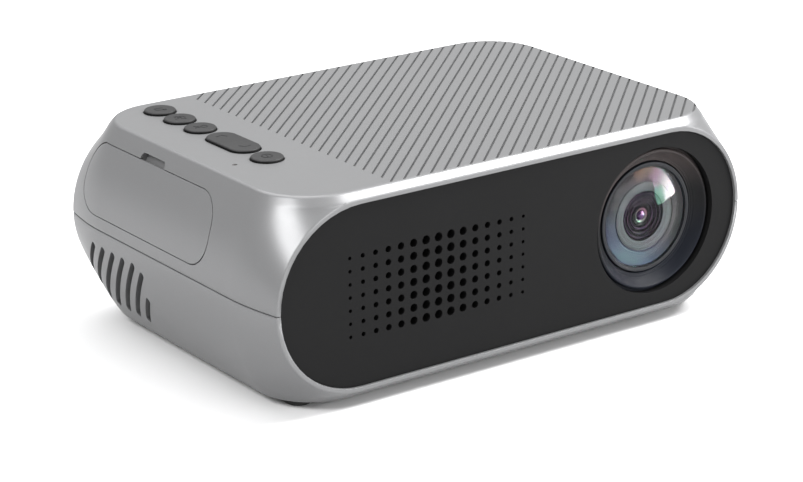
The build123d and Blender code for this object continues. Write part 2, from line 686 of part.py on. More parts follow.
# ---------------------------------------------------------------- light engine
box_x0, box_x1 = 18.6, 56.2
box_h = 15.0
box_cx = (box_x0 + box_x1) / 2
with BuildPart() as light_box:
    with BuildSketch(Plane.XZ.offset(13.0)):
        with Locations((box_cx, zc)):
            RectangleRounded(box_x1 - box_x0, 2 * box_h, 1.5)
    extrude(amount=-33.0)
    with BuildSketch(Plane.XZ.offset(11.4)):
        with Locations((box_cx, zc)):
            Rectangle(box_x1 - box_x0 - 3.2, 2 * box_h - 3.2)
    extrude(amount=-40.0, mode=Mode.SUBTRACT)
    with BuildSketch(Plane.XZ.offset(14.0)):
        with Locations((lens_x, zc)):
            Circle(12.6)
    extrude(amount=-4.0, mode=Mode.SUBTRACT)
    with BuildSketch(Plane.XZ.offset(14.0)):
        with Locations((lens_x + 14.8, zc + 11.6), (lens_x - 14.8, zc + 11.6),
                       (lens_x + 14.8, zc - 11.6), (lens_x - 14.8, zc - 11.6)):
            Circle(0.85)
    extrude(amount=-4.0, mode=Mode.SUBTRACT)
    # slot in the left wall for the panel's flat cable
    with BuildSketch(Plane.YZ.offset(box_x0 - 1)):
        with Locations((1.2, zc + 5.0)):
            Rectangle(1.4, 15.0)
    extrude(amount=3.5, mode=Mode.SUBTRACT)
light_box.part.label = "light_box"
export_step(light_box.part, "parts/light_box.step")

with BuildPart() as engine_screws:
    for ex in (-14.8, 14.8):
        for ez in (-11.6, 11.6):
            with BuildSketch(Plane(origin=(lens_x + ex, -15.0, zc + ez), x_dir=(1, 0, 0), z_dir=(0, -1, 0))):
                Circle(1.7)
            extrude(amount=1.2)
            with BuildSketch(Plane(origin=(lens_x + ex, -15.1, zc + ez), x_dir=(1, 0, 0), z_dir=(0, 1, 0))):
                Circle(0.85)
            extrude(amount=4.6)
engine_screws.part.label = "engine_screws"
export_step(engine_screws.part, "parts/engine_screws.step")

in_w, in_h = box_x1 - box_x0 - 3.2, 2 * box_h - 3.2


def engine_plate(y, t, w, h, r=0.6):
    with BuildSketch(Plane.XZ.offset(-y)) as s:
        with Locations((box_cx, zc)):
            RectangleRounded(w, h, r)
    return s.sketch


with BuildPart() as fresnel_lenses:
    extrude(engine_plate(-4.6, 1.4, in_w - 0.3, in_h - 0.3), amount=-1.4)
    extrude(engine_plate(5.4, 1.4, in_w - 0.3, in_h - 0.3), amount=-1.4)
fresnel_lenses.part.label = "fresnel_lenses"
export_step(fresnel_lenses.part, "parts/fresnel_lenses.step")

with BuildPart() as lcd_panel:
    extrude(engine_plate(0.4, 1.6, in_w - 0.3, in_h - 0.3), amount=-1.6)
lcd_panel.part.label = "lcd_panel"
export_step(lcd_panel.part, "parts/lcd_panel.step")

with BuildPart() as heat_glass:
    extrude(engine_plate(8.6, 1.1, in_w - 0.3, in_h - 0.3), amount=-1.1)
heat_glass.part.label = "heat_glass"
export_step(heat_glass.part, "parts/heat_glass.step")

# funnel-shaped reflector from the lamp chip to the full window
with BuildPart() as reflector_cone:
    loft(sections=[engine_plate(10.2, 0, in_w - 0.4, in_h - 0.4, 1.5), engine_plate(19.9, 0, 13.0, 13.0, 2.0)])
    loft(sections=[engine_plate(10.1, 0, in_w - 2.2, in_h - 2.2, 1.2), engine_plate(20.0, 0, 10.6, 10.6, 1.5)],
         mode=Mode.SUBTRACT)
reflector_cone.part.label = "reflector_cone"
export_step(reflector_cone.part, "parts/reflector_cone.step")

with BuildPart() as led_board:
    extrude(engine_plate(21.2, 0, 25.0, 28.0, 1.0), amount=-1.6)
led_board.part.label = "led_board"
export_step(led_board.part, "parts/led_board.step")

with BuildPart() as led_chip:
    extrude(engine_plate(20.2, 0, 9.0, 9.0, 0.5), amount=-1.0)
led_chip.part.label = "led_chip"
export_step(led_chip.part, "parts/led_chip.step")

with BuildPart() as heatsink:
    extrude(engine_plate(22.8, 0, 26.0, 30.0, 1.0), amount=-3.0)
    with BuildSketch(Plane.XZ.offset(-25.6)):
        for i in range(8):
            with Locations((box_cx - 12.2 + 3.485 * i, zc)):
                Rectangle(1.2, 30.0)
    extrude(amount=-10.4)
heatsink.part.label = "heatsink"
export_step(heatsink.part, "parts/heatsink.step")

# flat cable from the panel to the board
with BuildPart() as lcd_ribbon:
    with BuildSketch(Plane.XY.offset(zc + 1.2)):
        with BuildLine() as ribbon_line:
            Polyline((20.0, 1.2), (16.5, 1.2), (13.6, 3.2), (11.05, 3.2))
            offset(amount=0.15, side=Side.BOTH)
        make_face()
    extrude(amount=7.4)
lcd_ribbon.part.label = "lcd_ribbon"
export_step(lcd_ribbon.part, "parts/lcd_ribbon.step")

# ---------------------------------------------------------------- blower
fan_x, fan_y = -38.0, 14.0
fan_z0 = zc - 18.3
with BuildPart() as blower_housing:
    with BuildSketch(Plane.XY.offset(fan_z0)):
        with Locations(((-54.0 - 23.5) / 2, 14.0)):
            RectangleRounded(30.5, 32.4, 3.0)
    extrude(amount=12.0)
    with BuildSketch(Plane.XY.offset(fan_z0 + 1.0)):
        with Locations((fan_x, fan_y)):
            Circle(13.5)
        with Locations((-48.0, 14.0)):
            Rectangle(20.0, 27.0)
    extrude(amount=20.0, mode=Mode.SUBTRACT)
    with BuildSketch(Plane.XY.offset(fan_z0 + 0.5)):
        with Locations((fan_x, fan_y)):
            Circle(3.0)
            Circle(0.8, mode=Mode.SUBTRACT)
    extrude(amount=4.3)
blower_housing.part.label = "blower_housing"
export_step(blower_housing.part, "parts/blower_housing.step")

with BuildPart() as blower_cover:
    with BuildSketch(Plane.XY.offset(fan_z0 + 12.0)):
        with Locations(((-54.0 - 23.5) / 2, 14.0)):
            RectangleRounded(30.5, 32.4, 3.0)
        with Locations((fan_x, fan_y)):
            Circle(9.5, mode=Mode.SUBTRACT)
    extrude(amount=1.0)
blower_cover.part.label = "blower_cover"
export_step(blower_cover.part, "parts/blower_cover.step")

with BuildPart() as fan_coil:
    with BuildSketch(Plane.XY.offset(fan_z0 + 1.0)):
        with Locations((fan_x, fan_y)):
            Circle(5.2)
            Circle(3.0, mode=Mode.SUBTRACT)
    extrude(amount=3.4)
fan_coil.part.label = "fan_coil"
export_step(fan_coil.part, "parts/fan_coil.step")

with BuildPart() as fan_rotor:
    with BuildSketch(Plane.XY.offset(fan_z0 + 1.4)):
        with Locations((fan_x, fan_y)):
            Circle(0.75)
    extrude(amount=4.4)
    with BuildSketch(Plane.XY.offset(fan_z0 + 1.6)):
        with Locations((fan_x, fan_y)):
            Circle(6.6)
            Circle(5.8, mode=Mode.SUBTRACT)
    extrude(amount=4.0)
    with BuildSketch(Plane.XY.offset(fan_z0 + 5.2)):
        with Locations((fan_x, fan_y)):
            Circle(12.4)
    extrude(amount=0.8)
    with BuildSketch(Plane.XY.offset(fan_z0 + 6.0)):
        with Locations((fan_x, fan_y)):
            Circle(6.6)
    extrude(amount=1.6, taper=20)
    with BuildSketch(Plane.XY.offset(fan_z0 + 2.2)):
        with Locations((fan_x, fan_y)):
            with PolarLocations(10.9, 18):
                Rectangle(3.0, 0.7, rotation=28)
    extrude(amount=8.6)
fan_rotor.part.label = "fan_rotor"
export_step(fan_rotor.part, "parts/fan_rotor.step")

with BuildPart() as fan_screws:
    with BuildSketch(Plane.XY.offset(fan_z0 + 13.0)):
        with Locations((-25.8, 0.1), (-25.8, 27.9), (-51.6, 0.1), (-51.6, 27.9)):
            Circle(1.4)
    extrude(amount=0.9)
fan_screws.part.label = "fan_screws"
export_step(fan_screws.part, "parts/fan_screws.step")

# ---------------------------------------------------------------- main board and sockets
board_z = zc - 1.0
with BuildPart() as main_board:
    with BuildSketch(Plane.XY.offset(board_z)):
        with Locations((-2.5, 6.5)):
            RectangleRounded(41.0, 61.0, 1.0)
        with Locations((-20.5, -21.5), (15.5, -21.5), (-20.5, 24.0), (15.5, 24.0)):
            Circle(1.0, mode=Mode.SUBTRACT)
    extrude(amount=1.6)
main_board.part.label = "main_board"
export_step(main_board.part, "parts/main_board.step")

with BuildPart() as board_screws:
    with BuildSketch(Plane.XY.offset(board_z + 1.6)):
        with Locations((-20.5, -21.5), (15.5, -21.5), (-20.5, 24.0), (15.5, 24.0)):
            Circle(1.7)
    extrude(amount=1.1)
    with BuildSketch(Plane.XY.offset(board_z + 1.7)):
        with Locations((-20.5, -21.5), (15.5, -21.5), (-20.5, 24.0), (15.5, 24.0)):
            Circle(0.8)
    extrude(amount=-7.0)
board_screws.part.label = "board_screws"
export_step(board_screws.part, "parts/board_screws.step")

with BuildPart() as board_chips:
    with BuildSketch(Plane.XY.offset(board_z + 1.6)):
        with Locations((-4.0, -2.0)):
            Rectangle(14.0, 14.0)
        with Locations((-15.0, -14.0), (6.0, -15.0)):
            Rectangle(8.0, 6.0)
        with Locations((-16.5, 8.0)):
            Rectangle(5.0, 9.0)
    extrude(amount=1.3)
    with BuildSketch(Plane.XY.offset(board_z + 1.6)):
        with Locations((9.6, 3.2)):
            Rectangle(2.4, 5.0)
    extrude(amount=7.6)
    with BuildSketch(Plane.XY.offset(board_z + 1.6)):
        with Locations((-3.0, 16.5), (5.0, 16.5)):
            Circle(2.5)
    extrude(amount=6.0)
board_chips.part.label = "board_chips"
export_step(board_chips.part, "parts/board_chips.step")


def socket_box(x, z, w, h, y0, y1):
    with BuildSketch(Plane.XZ.offset(-y0)) as s:
        with Locations((x, z)):
            RectangleRounded(w, h, 0.4)
    return s.sketch


sock_y = 40.2               # mouths of the sockets, just behind the panel face
with BuildPart() as hdmi_socket:
    extrude(socket_box(hdmi_x, hdmi_z, 15.0, 5.6, 28.6, sock_y), amount=-(sock_y - 28.6))
    with BuildSketch(Plane.XZ.offset(-sock_y)):
        with BuildLine():
            Polyline((hdmi_x - 7.0, hdmi_z + 2.2), (hdmi_x + 7.0, hdmi_z + 2.2), (hdmi_x + 7.0, hdmi_z - 0.6),
                     (hdmi_x + 5.4, hdmi_z - 2.2), (hdmi_x - 5.4, hdmi_z - 2.2), (hdmi_x - 7.0, hdmi_z - 0.6),
                     (hdmi_x - 7.0, hdmi_z + 2.2))
        make_face()
    extrude(amount=9.0, mode=Mode.SUBTRACT)
    with BuildSketch(Plane.XZ.offset(-(sock_y - 9.2))):
        with Locations((hdmi_x, hdmi_z)):
            Rectangle(11.4, 0.9)
    extrude(amount=-8.0)
hdmi_socket.part.label = "hdmi_socket"
export_step(hdmi_socket.part, "parts/hdmi_socket.step")

with BuildPart() as usb_socket:
    extrude(socket_box(usb_x, usb_z, 14.0, 6.4, 26.6, sock_y), amount=-(sock_y - 26.6))
    with BuildSketch(Plane.XZ.offset(-sock_y)):
        with Locations((usb_x, usb_z)):
            Rectangle(12.8, 5.2)
    extrude(amount=11.0, mode=Mode.SUBTRACT)
    with BuildSketch(Plane.XZ.offset(-(sock_y - 11.2))):
        with Locations((usb_x, usb_z + 1.0)):
            Rectangle(11.0, 1.9)
    extrude(amount=-10.0)
usb_socket.part.label = "usb_socket"
export_step(usb_socket.part, "parts/usb_socket.step")

with BuildPart() as card_socket:
    extrude(socket_box(card_x, card_z, 12.0, 1.5, 26.0, 39.2), amount=-(39.2 - 26.0))
    with BuildSketch(Plane.XZ.offset(-39.2)):
        with Locations((card_x, card_z)):
            Rectangle(11.0, 0.8)
    extrude(amount=12.0, mode=Mode.SUBTRACT)
card_socket.part.label = "card_socket"
export_step(card_socket.part, "parts/card_socket.step")

with BuildPart() as audio_jacks:
    for jx in jack_x:
        with BuildSketch(Plane.XZ.offset(-27.0)):
            with Locations((jx, jack_z)):
                RectangleRounded(6.6, 6.2, 0.3)
        extrude(amount=-11.2)
        with BuildSketch(Plane.XZ.offset(-38.0)):
            with Locations((jx, jack_z)):
                Circle(3.0)
        extrude(amount=-2.2)
        with BuildSketch(Plane.XZ.offset(-40.3)):
            with Locations((jx, jack_z)):
                Circle(1.8)
        extrude(amount=12.3, mode=Mode.SUBTRACT)
audio_jacks.part.label = "audio_jacks"
export_step(audio_jacks.part, "parts/audio_jacks.step")

with BuildPart() as dc_jack:
    with BuildSketch(Plane.XZ.offset(-27.4)):
        with Locations((dc_x, dc_z)):
            RectangleRounded(8.8, 9.0, 0.4)
    extrude(amount=-10.8)
    with BuildSketch(Plane.XZ.offset(-38.0)):
        with Locations((dc_x, dc_z)):
            Circle(3.7)
    extrude(amount=-2.2)
    with BuildSketch(Plane.XZ.offset(-40.3)):
        with Locations((dc_x, dc_z)):
            Circle(2.8)
            Circle(1.0, mode=Mode.SUBTRACT)
    extrude(amount=9.6, mode=Mode.SUBTRACT)
    with BuildSketch(Plane.XZ.offset(-40.3)):
        with Locations((dc_x, dc_z)):
            Circle(1.2)
    extrude(amount=1.6, mode=Mode.SUBTRACT)
dc_jack.part.label = "dc_jack"
export_step(dc_jack.part, "parts/dc_jack.step")

# ---------------------------------------------------------------- battery bay, pack and contacts
bay_x0, bay_x1 = -55.0, -22.4
with BuildPart() as battery_bay:
    with BuildSketch(Plane.YZ.offset(bay_x0)):
        with Locations((8.7, zc + 9.65)):
            RectangleRounded(45.4, 12.5, 1.5)
    extrude(amount=bay_x1 - bay_x0)
    with BuildSketch(Plane.YZ.offset(bay_x0 - 1)):
        with Locations((8.7, zc + 9.65)):
            RectangleRounded(43.8, 10.9, 1.0)
    extrude(amount=bay_x1 - bay_x0 + 1 - 0.8, mode=Mode.SUBTRACT)
battery_bay.part.label = "battery_bay"
export_step(battery_bay.part, "parts/battery_bay.step")

with BuildPart() as battery_pack:
    with BuildSketch(Plane.YZ.offset(-54.6)):
        with Locations((8.7, zc + 9.65)):
            RectangleRounded(42.6, 10.2, 1.6)
    extrude(amount=29.6)
    fillet(battery_pack.edges().group_by(Axis.X)[0], 0.6)
battery_pack.part.label = "battery_pack"
export_step(battery_pack.part, "parts/battery_pack.step")

with BuildPart() as battery_contacts:
    with BuildSketch(Plane.YZ.offset(-24.95)):
        with Locations((2.7, zc + 9.65), (8.7, zc + 9.65), (14.7, zc + 9.65)):
            Rectangle(2.0, 4.0)
    extrude(amount=1.7)
battery_contacts.part.label = "battery_contacts"
export_step(battery_contacts.part, "parts/battery_contacts.step")

# ---------------------------------------------------------------- speaker
with BuildPart() as speaker_basket:
    with BuildSketch(Plane.XZ.offset(38.0)):
        with Locations((hole_x0, zc)):
            SlotOverall(46.0, 21.0)
            SlotOverall(40.0, 16.6, mode=Mode.SUBTRACT)
    extrude(amount=-1.6)
    with BuildSketch(Plane.XZ.offset(36.4)):
        with Locations((hole_x0, zc)):
            SlotOverall(43.0, 18.6)
            SlotOverall(40.0, 16.6, mode=Mode.SUBTRACT)
    extrude(amount=-5.4)
    with BuildSketch(Plane.XZ.offset(31.0)):
        with Locations((hole_x0, zc)):
            SlotOverall(43.0, 18.6)
            Circle(6.6, mode=Mode.SUBTRACT)
    extrude(amount=-1.2)
speaker_basket.part.label = "speaker_basket"
export_step(speaker_basket.part, "parts/speaker_basket.step")

with BuildPart() as speaker_cone:
    with BuildSketch(Plane.XZ.offset(37.2)):
        with Locations((hole_x0, zc)):
            SlotOverall(39.6, 16.2)
    with BuildSketch(Plane.XZ.offset(32.6)):
        with Locations((hole_x0, zc)):
            SlotOverall(15.0, 11.0)
    loft(ruled=True)
    with BuildSketch(Plane.XZ.offset(37.21)):
        with Locations((hole_x0, zc)):
            SlotOverall(38.6, 15.2)
    with BuildSketch(Plane.XZ.offset(33.2)):
        with Locations((hole_x0, zc)):
            SlotOverall(14.0, 10.0)
    loft(ruled=True, mode=Mode.SUBTRACT)
speaker_cone.part.label = "speaker_cone"
export_step(speaker_cone.part, "parts/speaker_cone.step")

with BuildPart() as speaker_magnet:
    with BuildSketch(Plane.XZ.offset(29.8)):
        with Locations((hole_x0, zc)):
            Circle(8.0)
    extrude(amount=-4.2)
    with BuildSketch(Plane.XZ.offset(29.8)):
        with Locations((hole_x0, zc)):
            Circle(5.6)
    extrude(amount=2.6)
speaker_magnet.part.label = "speaker_magnet"
export_step(speaker_magnet.part, "parts/speaker_magnet.step")
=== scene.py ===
import json
import math

import bmesh
import bpy
import numpy as np
from mathutils import Matrix, Vector
from mathutils.bvhtree import BVHTree


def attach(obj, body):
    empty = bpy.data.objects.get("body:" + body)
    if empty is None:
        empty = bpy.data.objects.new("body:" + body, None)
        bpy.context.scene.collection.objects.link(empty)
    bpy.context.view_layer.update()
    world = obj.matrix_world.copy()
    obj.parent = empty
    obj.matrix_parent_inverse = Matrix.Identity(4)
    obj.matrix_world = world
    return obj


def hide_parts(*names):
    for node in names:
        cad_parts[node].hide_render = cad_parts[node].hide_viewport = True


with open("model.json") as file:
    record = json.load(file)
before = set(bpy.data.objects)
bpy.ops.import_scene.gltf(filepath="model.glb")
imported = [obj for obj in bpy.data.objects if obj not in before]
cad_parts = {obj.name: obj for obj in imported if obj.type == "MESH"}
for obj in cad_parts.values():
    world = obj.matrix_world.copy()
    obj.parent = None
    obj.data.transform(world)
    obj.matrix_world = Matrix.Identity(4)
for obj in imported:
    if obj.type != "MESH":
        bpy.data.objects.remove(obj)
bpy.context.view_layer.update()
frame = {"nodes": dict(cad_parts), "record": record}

NODES = frame["nodes"]
scene = bpy.context.scene

# ------------------------------------------------------------------ dimensions, in mm; z is measured from the parting plane
ZC = 23.8
SEAM = 0.06
HALF_H, CORNER_R, CORNER_Y = 22.0, 12.6, 26.55
SIDE_XC, SIDE_R = 24.01176, 38.98824
RIM_Y, RIM_R, RIM_L = 41.0, 20.44, 40.76
WALL = 2.0
LENS_X = 37.4
PANEL_Y = 40.4
KEY_X = -43.6
PIVOT = (-62.9, 2.95)
COVER = (9.1, 10.6, 52.0, 15.2, 6.5)

# ================================================================== small mesh kit


def obj_from(name, verts, faces):
    me = bpy.data.meshes.new(name)
    me.from_pydata([tuple(float(c) for c in v) for v in verts], [], [tuple(f) for f in faces])
    me.update()
    ob = bpy.data.objects.new(name, me)
    scene.collection.objects.link(ob)
    return ob


def drop(ob):
    me = ob.data
    bpy.data.objects.remove(ob)
    if me and me.users == 0:
        bpy.data.meshes.remove(me)


def clean(ob, dist=1e-4):
    bm = bmesh.new()
    bm.from_mesh(ob.data)
    bmesh.ops.remove_doubles(bm, verts=bm.verts, dist=dist)
    bmesh.ops.recalc_face_normals(bm, faces=bm.faces)
    bm.to_mesh(ob.data)
    bm.free()
    return ob


def cut(ob, tool, op="DIFFERENCE", solver="EXACT", keep=False):
    m = ob.modifiers.new("b", "BOOLEAN")
    m.object, m.operation, m.solver = tool, op, solver
    bpy.context.view_layer.update()
    me = bpy.data.meshes.new_from_object(ob.evaluated_get(bpy.context.evaluated_depsgraph_get()))
    ob.modifiers.clear()
    old = ob.data
    ob.data = me
    bpy.data.meshes.remove(old)
    if not keep:
        drop(tool)
    return ob


def joined(name, obs):
    bm = bmesh.new()
    for o in obs:
        bm.from_mesh(o.data)
    me = bpy.data.meshes.new(name)
    bm.to_mesh(me)
    bm.free()
    for o in obs:
        drop(o)
    ob = bpy.data.objects.new(name, me)
    scene.collection.objects.link(ob)
    return ob


def circle(cx, cy, r, n=48):
    return [(cx + r * math.cos(2 * math.pi * i / n), cy + r * math.sin(2 * math.pi * i / n)) for i in range(n)]


def rrect(cx, cy, w, h, r, n=10):
    out = []
    for qx, qy, a0 in ((1, 1, 0), (-1, 1, 90), (-1, -1, 180), (1, -1, 270)):
        for i in range(n + 1):
            a = math.radians(a0 + 90 * i / n)
            out.append((cx + qx * (w / 2 - r) + r * math.cos(a), cy + qy * (h / 2 - r) + r * math.sin(a)))
    return out


def stadium(cx, cy, w, h, n=24):
    # full width w and height h, ends round
    r, l, out = h / 2, w / 2 - h / 2, []
    for s, a0 in ((1, -90), (-1, 90)):
        for i in range(n + 1):
            a = math.radians(a0 + 180 * i / n)
            out.append((cx + s * l + r * math.cos(a), cy + r * math.sin(a)))
    return out


def turned(poly, deg, cx=0.0, cy=0.0):
    c, s = math.cos(math.radians(deg)), math.sin(math.radians(deg))
    return [(cx + (x - cx) * c - (y - cy) * s, cy + (x - cx) * s + (y - cy) * c) for x, y in poly]


def prism(poly, axis, a, b, name="prism"):
    # closed prism of a flat outline: axis "x" takes (y, z), "y" takes (x, z), "z" takes (x, y)
    n = len(poly)
    put = {"x": lambda p, t: (t, p[0], p[1]), "y": lambda p, t: (p[0], t, p[1]), "z": lambda p, t: (p[0], p[1], t)}[axis]
    v = [put(p, a) for p in poly] + [put(p, b) for p in poly]
    f = [tuple(range(n)), tuple(range(n, 2 * n))] + [(i, (i + 1) % n, n + (i + 1) % n, n + i) for i in range(n)]
    return clean(obj_from(name, v, f))


def lathe(profile, axis="z", centre=(0, 0, 0), n=96, name="lathe"):
    # profile: (radius, along) pairs; a first or last radius of 0 closes the form on its axis
    verts, rings, faces = [], [], []
    cx, cy, cz = centre

    def put(r, t, a):
        x, y = r * math.cos(a), r * math.sin(a)
        return {"z": (cx + x, cy + y, cz + t), "y": (cx + x, cy + t, cz + y), "x": (cx + t, cy + x, cz + y)}[axis]

    for r, t in profile:
        if r < 1e-9:
            rings.append([len(verts)])
            verts.append(put(0, t, 0))
        else:
            rings.append(list(range(len(verts), len(verts) + n)))
            verts += [put(r, t, 2 * math.pi * i / n) for i in range(n)]
    closed = len(rings[0]) > 1 and len(rings[-1]) > 1
    pairs = list(zip(rings, rings[1:])) + ([(rings[-1], rings[0])] if closed else [])
    for p, q in pairs:
        for i in range(n):
            j = (i + 1) % n
            if len(p) == 1 and len(q) == 1:
                continue
            if len(p) == 1:
                faces.append((p[0], q[i], q[j]))
            elif len(q) == 1:
                faces.append((p[i], p[j], q[0]))
            else:
                faces.append((p[i], p[j], q[j], q[i]))
    return clean(obj_from(name, verts, faces), 1e-6)


def finish_piece(ob, body, name, shift=ZC, smooth=30.0, keep_normals=False):
    # from mm about the parting plane to metres in the row frame
    if name:
        ob.name = name
        ob.data.name = name
    if not keep_normals:
        ob.data.polygons.foreach_set("use_smooth", [True] * len(ob.data.polygons))
        ob.data.set_sharp_from_angle(angle=math.radians(smooth))
    ob.data.transform(Matrix.Scale(0.001, 4) @ Matrix.Translation((0, 0, shift)))
    ob.data.update()
    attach(ob, body)
    return ob


# ================================================================== the casing's surface


def half_body(i=0.0, zbot=SEAM, bevel=True, cols=26, name="half"):
    """Upper half of the body, its outer surface moved in by i. Each horizontal section runs straight along the
    side, turns the corner in one smooth curve and meets the rim; the flat top has a crisp softened edge."""
    H = HALF_H - i
    R = SIDE_R - i
    cr = CORNER_R - i
    rim_r, rim_y = RIM_R - i, RIM_Y - i
    plw = SIDE_XC + math.sqrt(R * R - H * H)
    ccx = plw - cr
    front_y = CORNER_Y + cr
    ex = max(ccx, RIM_L + 0.8)                     # x where the front band ends and the corner starts
    zE = math.sqrt(rim_r ** 2 - (ex - RIM_L) ** 2)
    psiE = math.asin(zE / rim_r)
    band_n = 4
    rows = []                                      # (z, end x, end y, direction angle)
    for k in range(band_n + 1):
        t = k / band_n
        rows.append((H + (zE - H) * t, ex, front_y + (rim_y - front_y) * t, 90.0))
    nA = 30
    z_last = max(zbot, SEAM)
    for k in range(1, nA + 1):
        t = k / nA
        psi = psiE * (1 - t)
        z = rim_r * math.sin(psi)
        if k == nA:
            z = z_last
        q = math.degrees(psi / psiE * math.pi / 2)
        tau = math.radians(11.8 + 28.3 * (q / 90.0))
        dx, dy = math.sin(tau), math.cos(tau) * math.cos(math.radians(q))
        rows.append((z, RIM_L + math.sqrt(max(rim_r ** 2 - z * z, 0)), rim_y, math.degrees(math.atan2(dx, dy))))
    grid = []                                      # grid[row][col] for the corner at +x, -y; col 0 on the side
    for z, qx, qy, ang in rows:
        q0 = np.array([SIDE_XC + math.sqrt(R * R - z * z), -CORNER_Y])
        q1 = np.array([qx, -qy])
        al = math.radians(max(ang, 0.5))
        ch = np.linalg.norm(q1 - q0)
        hl = ch * (2 / 3) * math.tan(al / 4) / math.sin(al / 2)
        d1 = np.array([-math.sin(al), -math.cos(al)])
        c0, c1 = q0 + np.array([0, -1.0]) * hl, q1 - d1 * hl
        line = []
        for c in range(cols + 1):
            u = c / cols
            p = (1 - u) ** 3 * q0 + 3 * u * (1 - u) ** 2 * c0 + 3 * u * u * (1 - u) * c1 + u ** 3 * q1
            line.append((p[0], p[1], z))
        grid.append(line)
    verts, faces = [], []

    def add_grid(g):
        base = len(verts)
        nc = len(g[0])
        for line in g:
            verts.extend(line)
        for a in range(len(g) - 1):
            for b in range(nc - 1):
                faces.append((base + a * nc + b, base + a * nc + b + 1, base + (a + 1) * nc + b + 1, base + (a + 1) * nc + b))

    for sx in (1, -1):
        for sy in (1, -1):
            add_grid([[(sx * x, sy * y, z) for x, y, z in line] for line in grid])
        ys = np.linspace(-CORNER_Y, CORNER_Y, 9)
        add_grid([[(sx * line[0][0], y, line[0][2]) for y in ys] for line in grid])
    xs = [-ex, -ex + 0.4 * (ex - RIM_L), -RIM_L] + list(np.linspace(-RIM_L, RIM_L, 9)[1:-1]) + [RIM_L, ex - 0.4 * (ex - RIM_L), ex]
    rim_top = lambda x: rim_r if abs(x) <= RIM_L else math.sqrt(rim_r ** 2 - (abs(x) - RIM_L) ** 2)
    for sy in (1, -1):
        add_grid([[(x, -sy * (front_y + (rim_y - front_y) * k / band_n), H + (rim_top(x) - H) * k / band_n) for x in xs]
                  for k in range(band_n + 1)])
    # flat top
    edge = [p[:2] for p in grid[0]]
    top = [(x, y) for x, y in edge] + [(x, edge[-1][1]) for x in xs[::-1][1:-1]] + [(-x, y) for x, y in edge[::-1]]
    top += [(-edge[0][0], y) for y in np.linspace(-CORNER_Y, CORNER_Y, 9)[1:-1]]
    top += [(-x, -y) for x, y in edge] + [(x, -edge[-1][1]) for x in xs[1:-1]] + [(x, -y) for x, y in edge[::-1]]
    top += [(edge[0][0], y) for y in np.linspace(CORNER_Y, -CORNER_Y, 9)[1:-1]]
    base = len(verts)
    verts.extend([(x, y, H) for x, y in top])
    faces.append(tuple(range(base, base + len(top))))
    # flat rim planes and the underside
    last = grid[-1]
    rim = [(line[-1][0], line[-1][2]) for line in grid[band_n:]]
    face = rim[::-1] + [(x, rim_top(x)) for x in xs[::-1][1:-1]] + [(-x, z) for x, z in rim]
    if zbot < SEAM:
        face = [(rim[-1][0], zbot)] + face + [(-rim[-1][0], zbot)]
    for sy in (1, -1):
        base = len(verts)
        verts.extend([(x, -sy * rim_y, z) for x, z in face])
        faces.append(tuple(range(base, base + len(face))))
    low = [(x, y) for x, y, z in last]
    ring = low + [(-x, y) for x, y in low[::-1]] + [(-low[0][0], y) for y in np.linspace(-CORNER_Y, CORNER_Y, 9)[1:-1]]
    ring += [(-x, -y) for x, y in low] + [(x, -y) for x, y in low[::-1]] + [(low[0][0], y) for y in np.linspace(CORNER_Y, -CORNER_Y, 9)[1:-1]]
    zb = last[0][2]
    if zbot < SEAM:
        base = len(verts)
        m = len(ring)
        verts.extend([(x, y, zb) for x, y in ring] + [(x, y, zbot) for x, y in ring])
        for k in range(m):
            if abs(ring[k][1]) > rim_y - 1e-6 and abs(ring[(k + 1) % m][1]) > rim_y - 1e-6:
                continue
            faces.append((base + k, base + (k + 1) % m, base + m + (k + 1) % m, base + m + k))
        zb = zbot
    base = len(verts)
    verts.extend([(x, y, zb) for x, y in ring])
    faces.append(tuple(range(base, base + len(ring))))
    ob = clean(obj_from(name, verts, faces), 2e-4)
    if bevel:
        bm = bmesh.new()
        bm.from_mesh(ob.data)
        bm.normal_update()
        big = {}
        for f in bm.faces:
            if f.calc_area() > 300:
                n = f.normal
                big[f] = "top" if n.z > 0.9 else ("low" if n.z < -0.9 else "rim")
        for kind, off, seg in (("top", 0.5, 4), ("rim", 0.22, 3), ("low", 0.16, 1)):
            big = [f for f in bm.faces if f.calc_area() > 300]
            pick = {"top": lambda f: f.normal.z > 0.9, "low": lambda f: f.normal.z < -0.9, "rim": lambda f: abs(f.normal.y) > 0.9}[kind]
            chosen = [f for f in big if pick(f)]
            edges = set()
            for f in chosen:
                for e in f.edges:
                    other = [g for g in e.link_faces if g is not f]
                    if not other or other[0] in big:
                        continue
                    edges.add(e)
            bmesh.ops.bevel(bm, geom=list(edges), offset=off, offset_type="OFFSET", segments=seg, profile=0.5,
                            affect="EDGES", clamp_overlap=False)
            bm.normal_update()
        bm.to_mesh(ob.data)
        bm.free()
    return ob


def mirrored(ob):
    bm = bmesh.new()
    bm.from_mesh(ob.data)
    bmesh.ops.scale(bm, vec=(1, 1, -1), verts=bm.verts)
    bmesh.ops.reverse_faces(bm, faces=bm.faces)
    bm.to_mesh(ob.data)
    bm.free()
    return ob


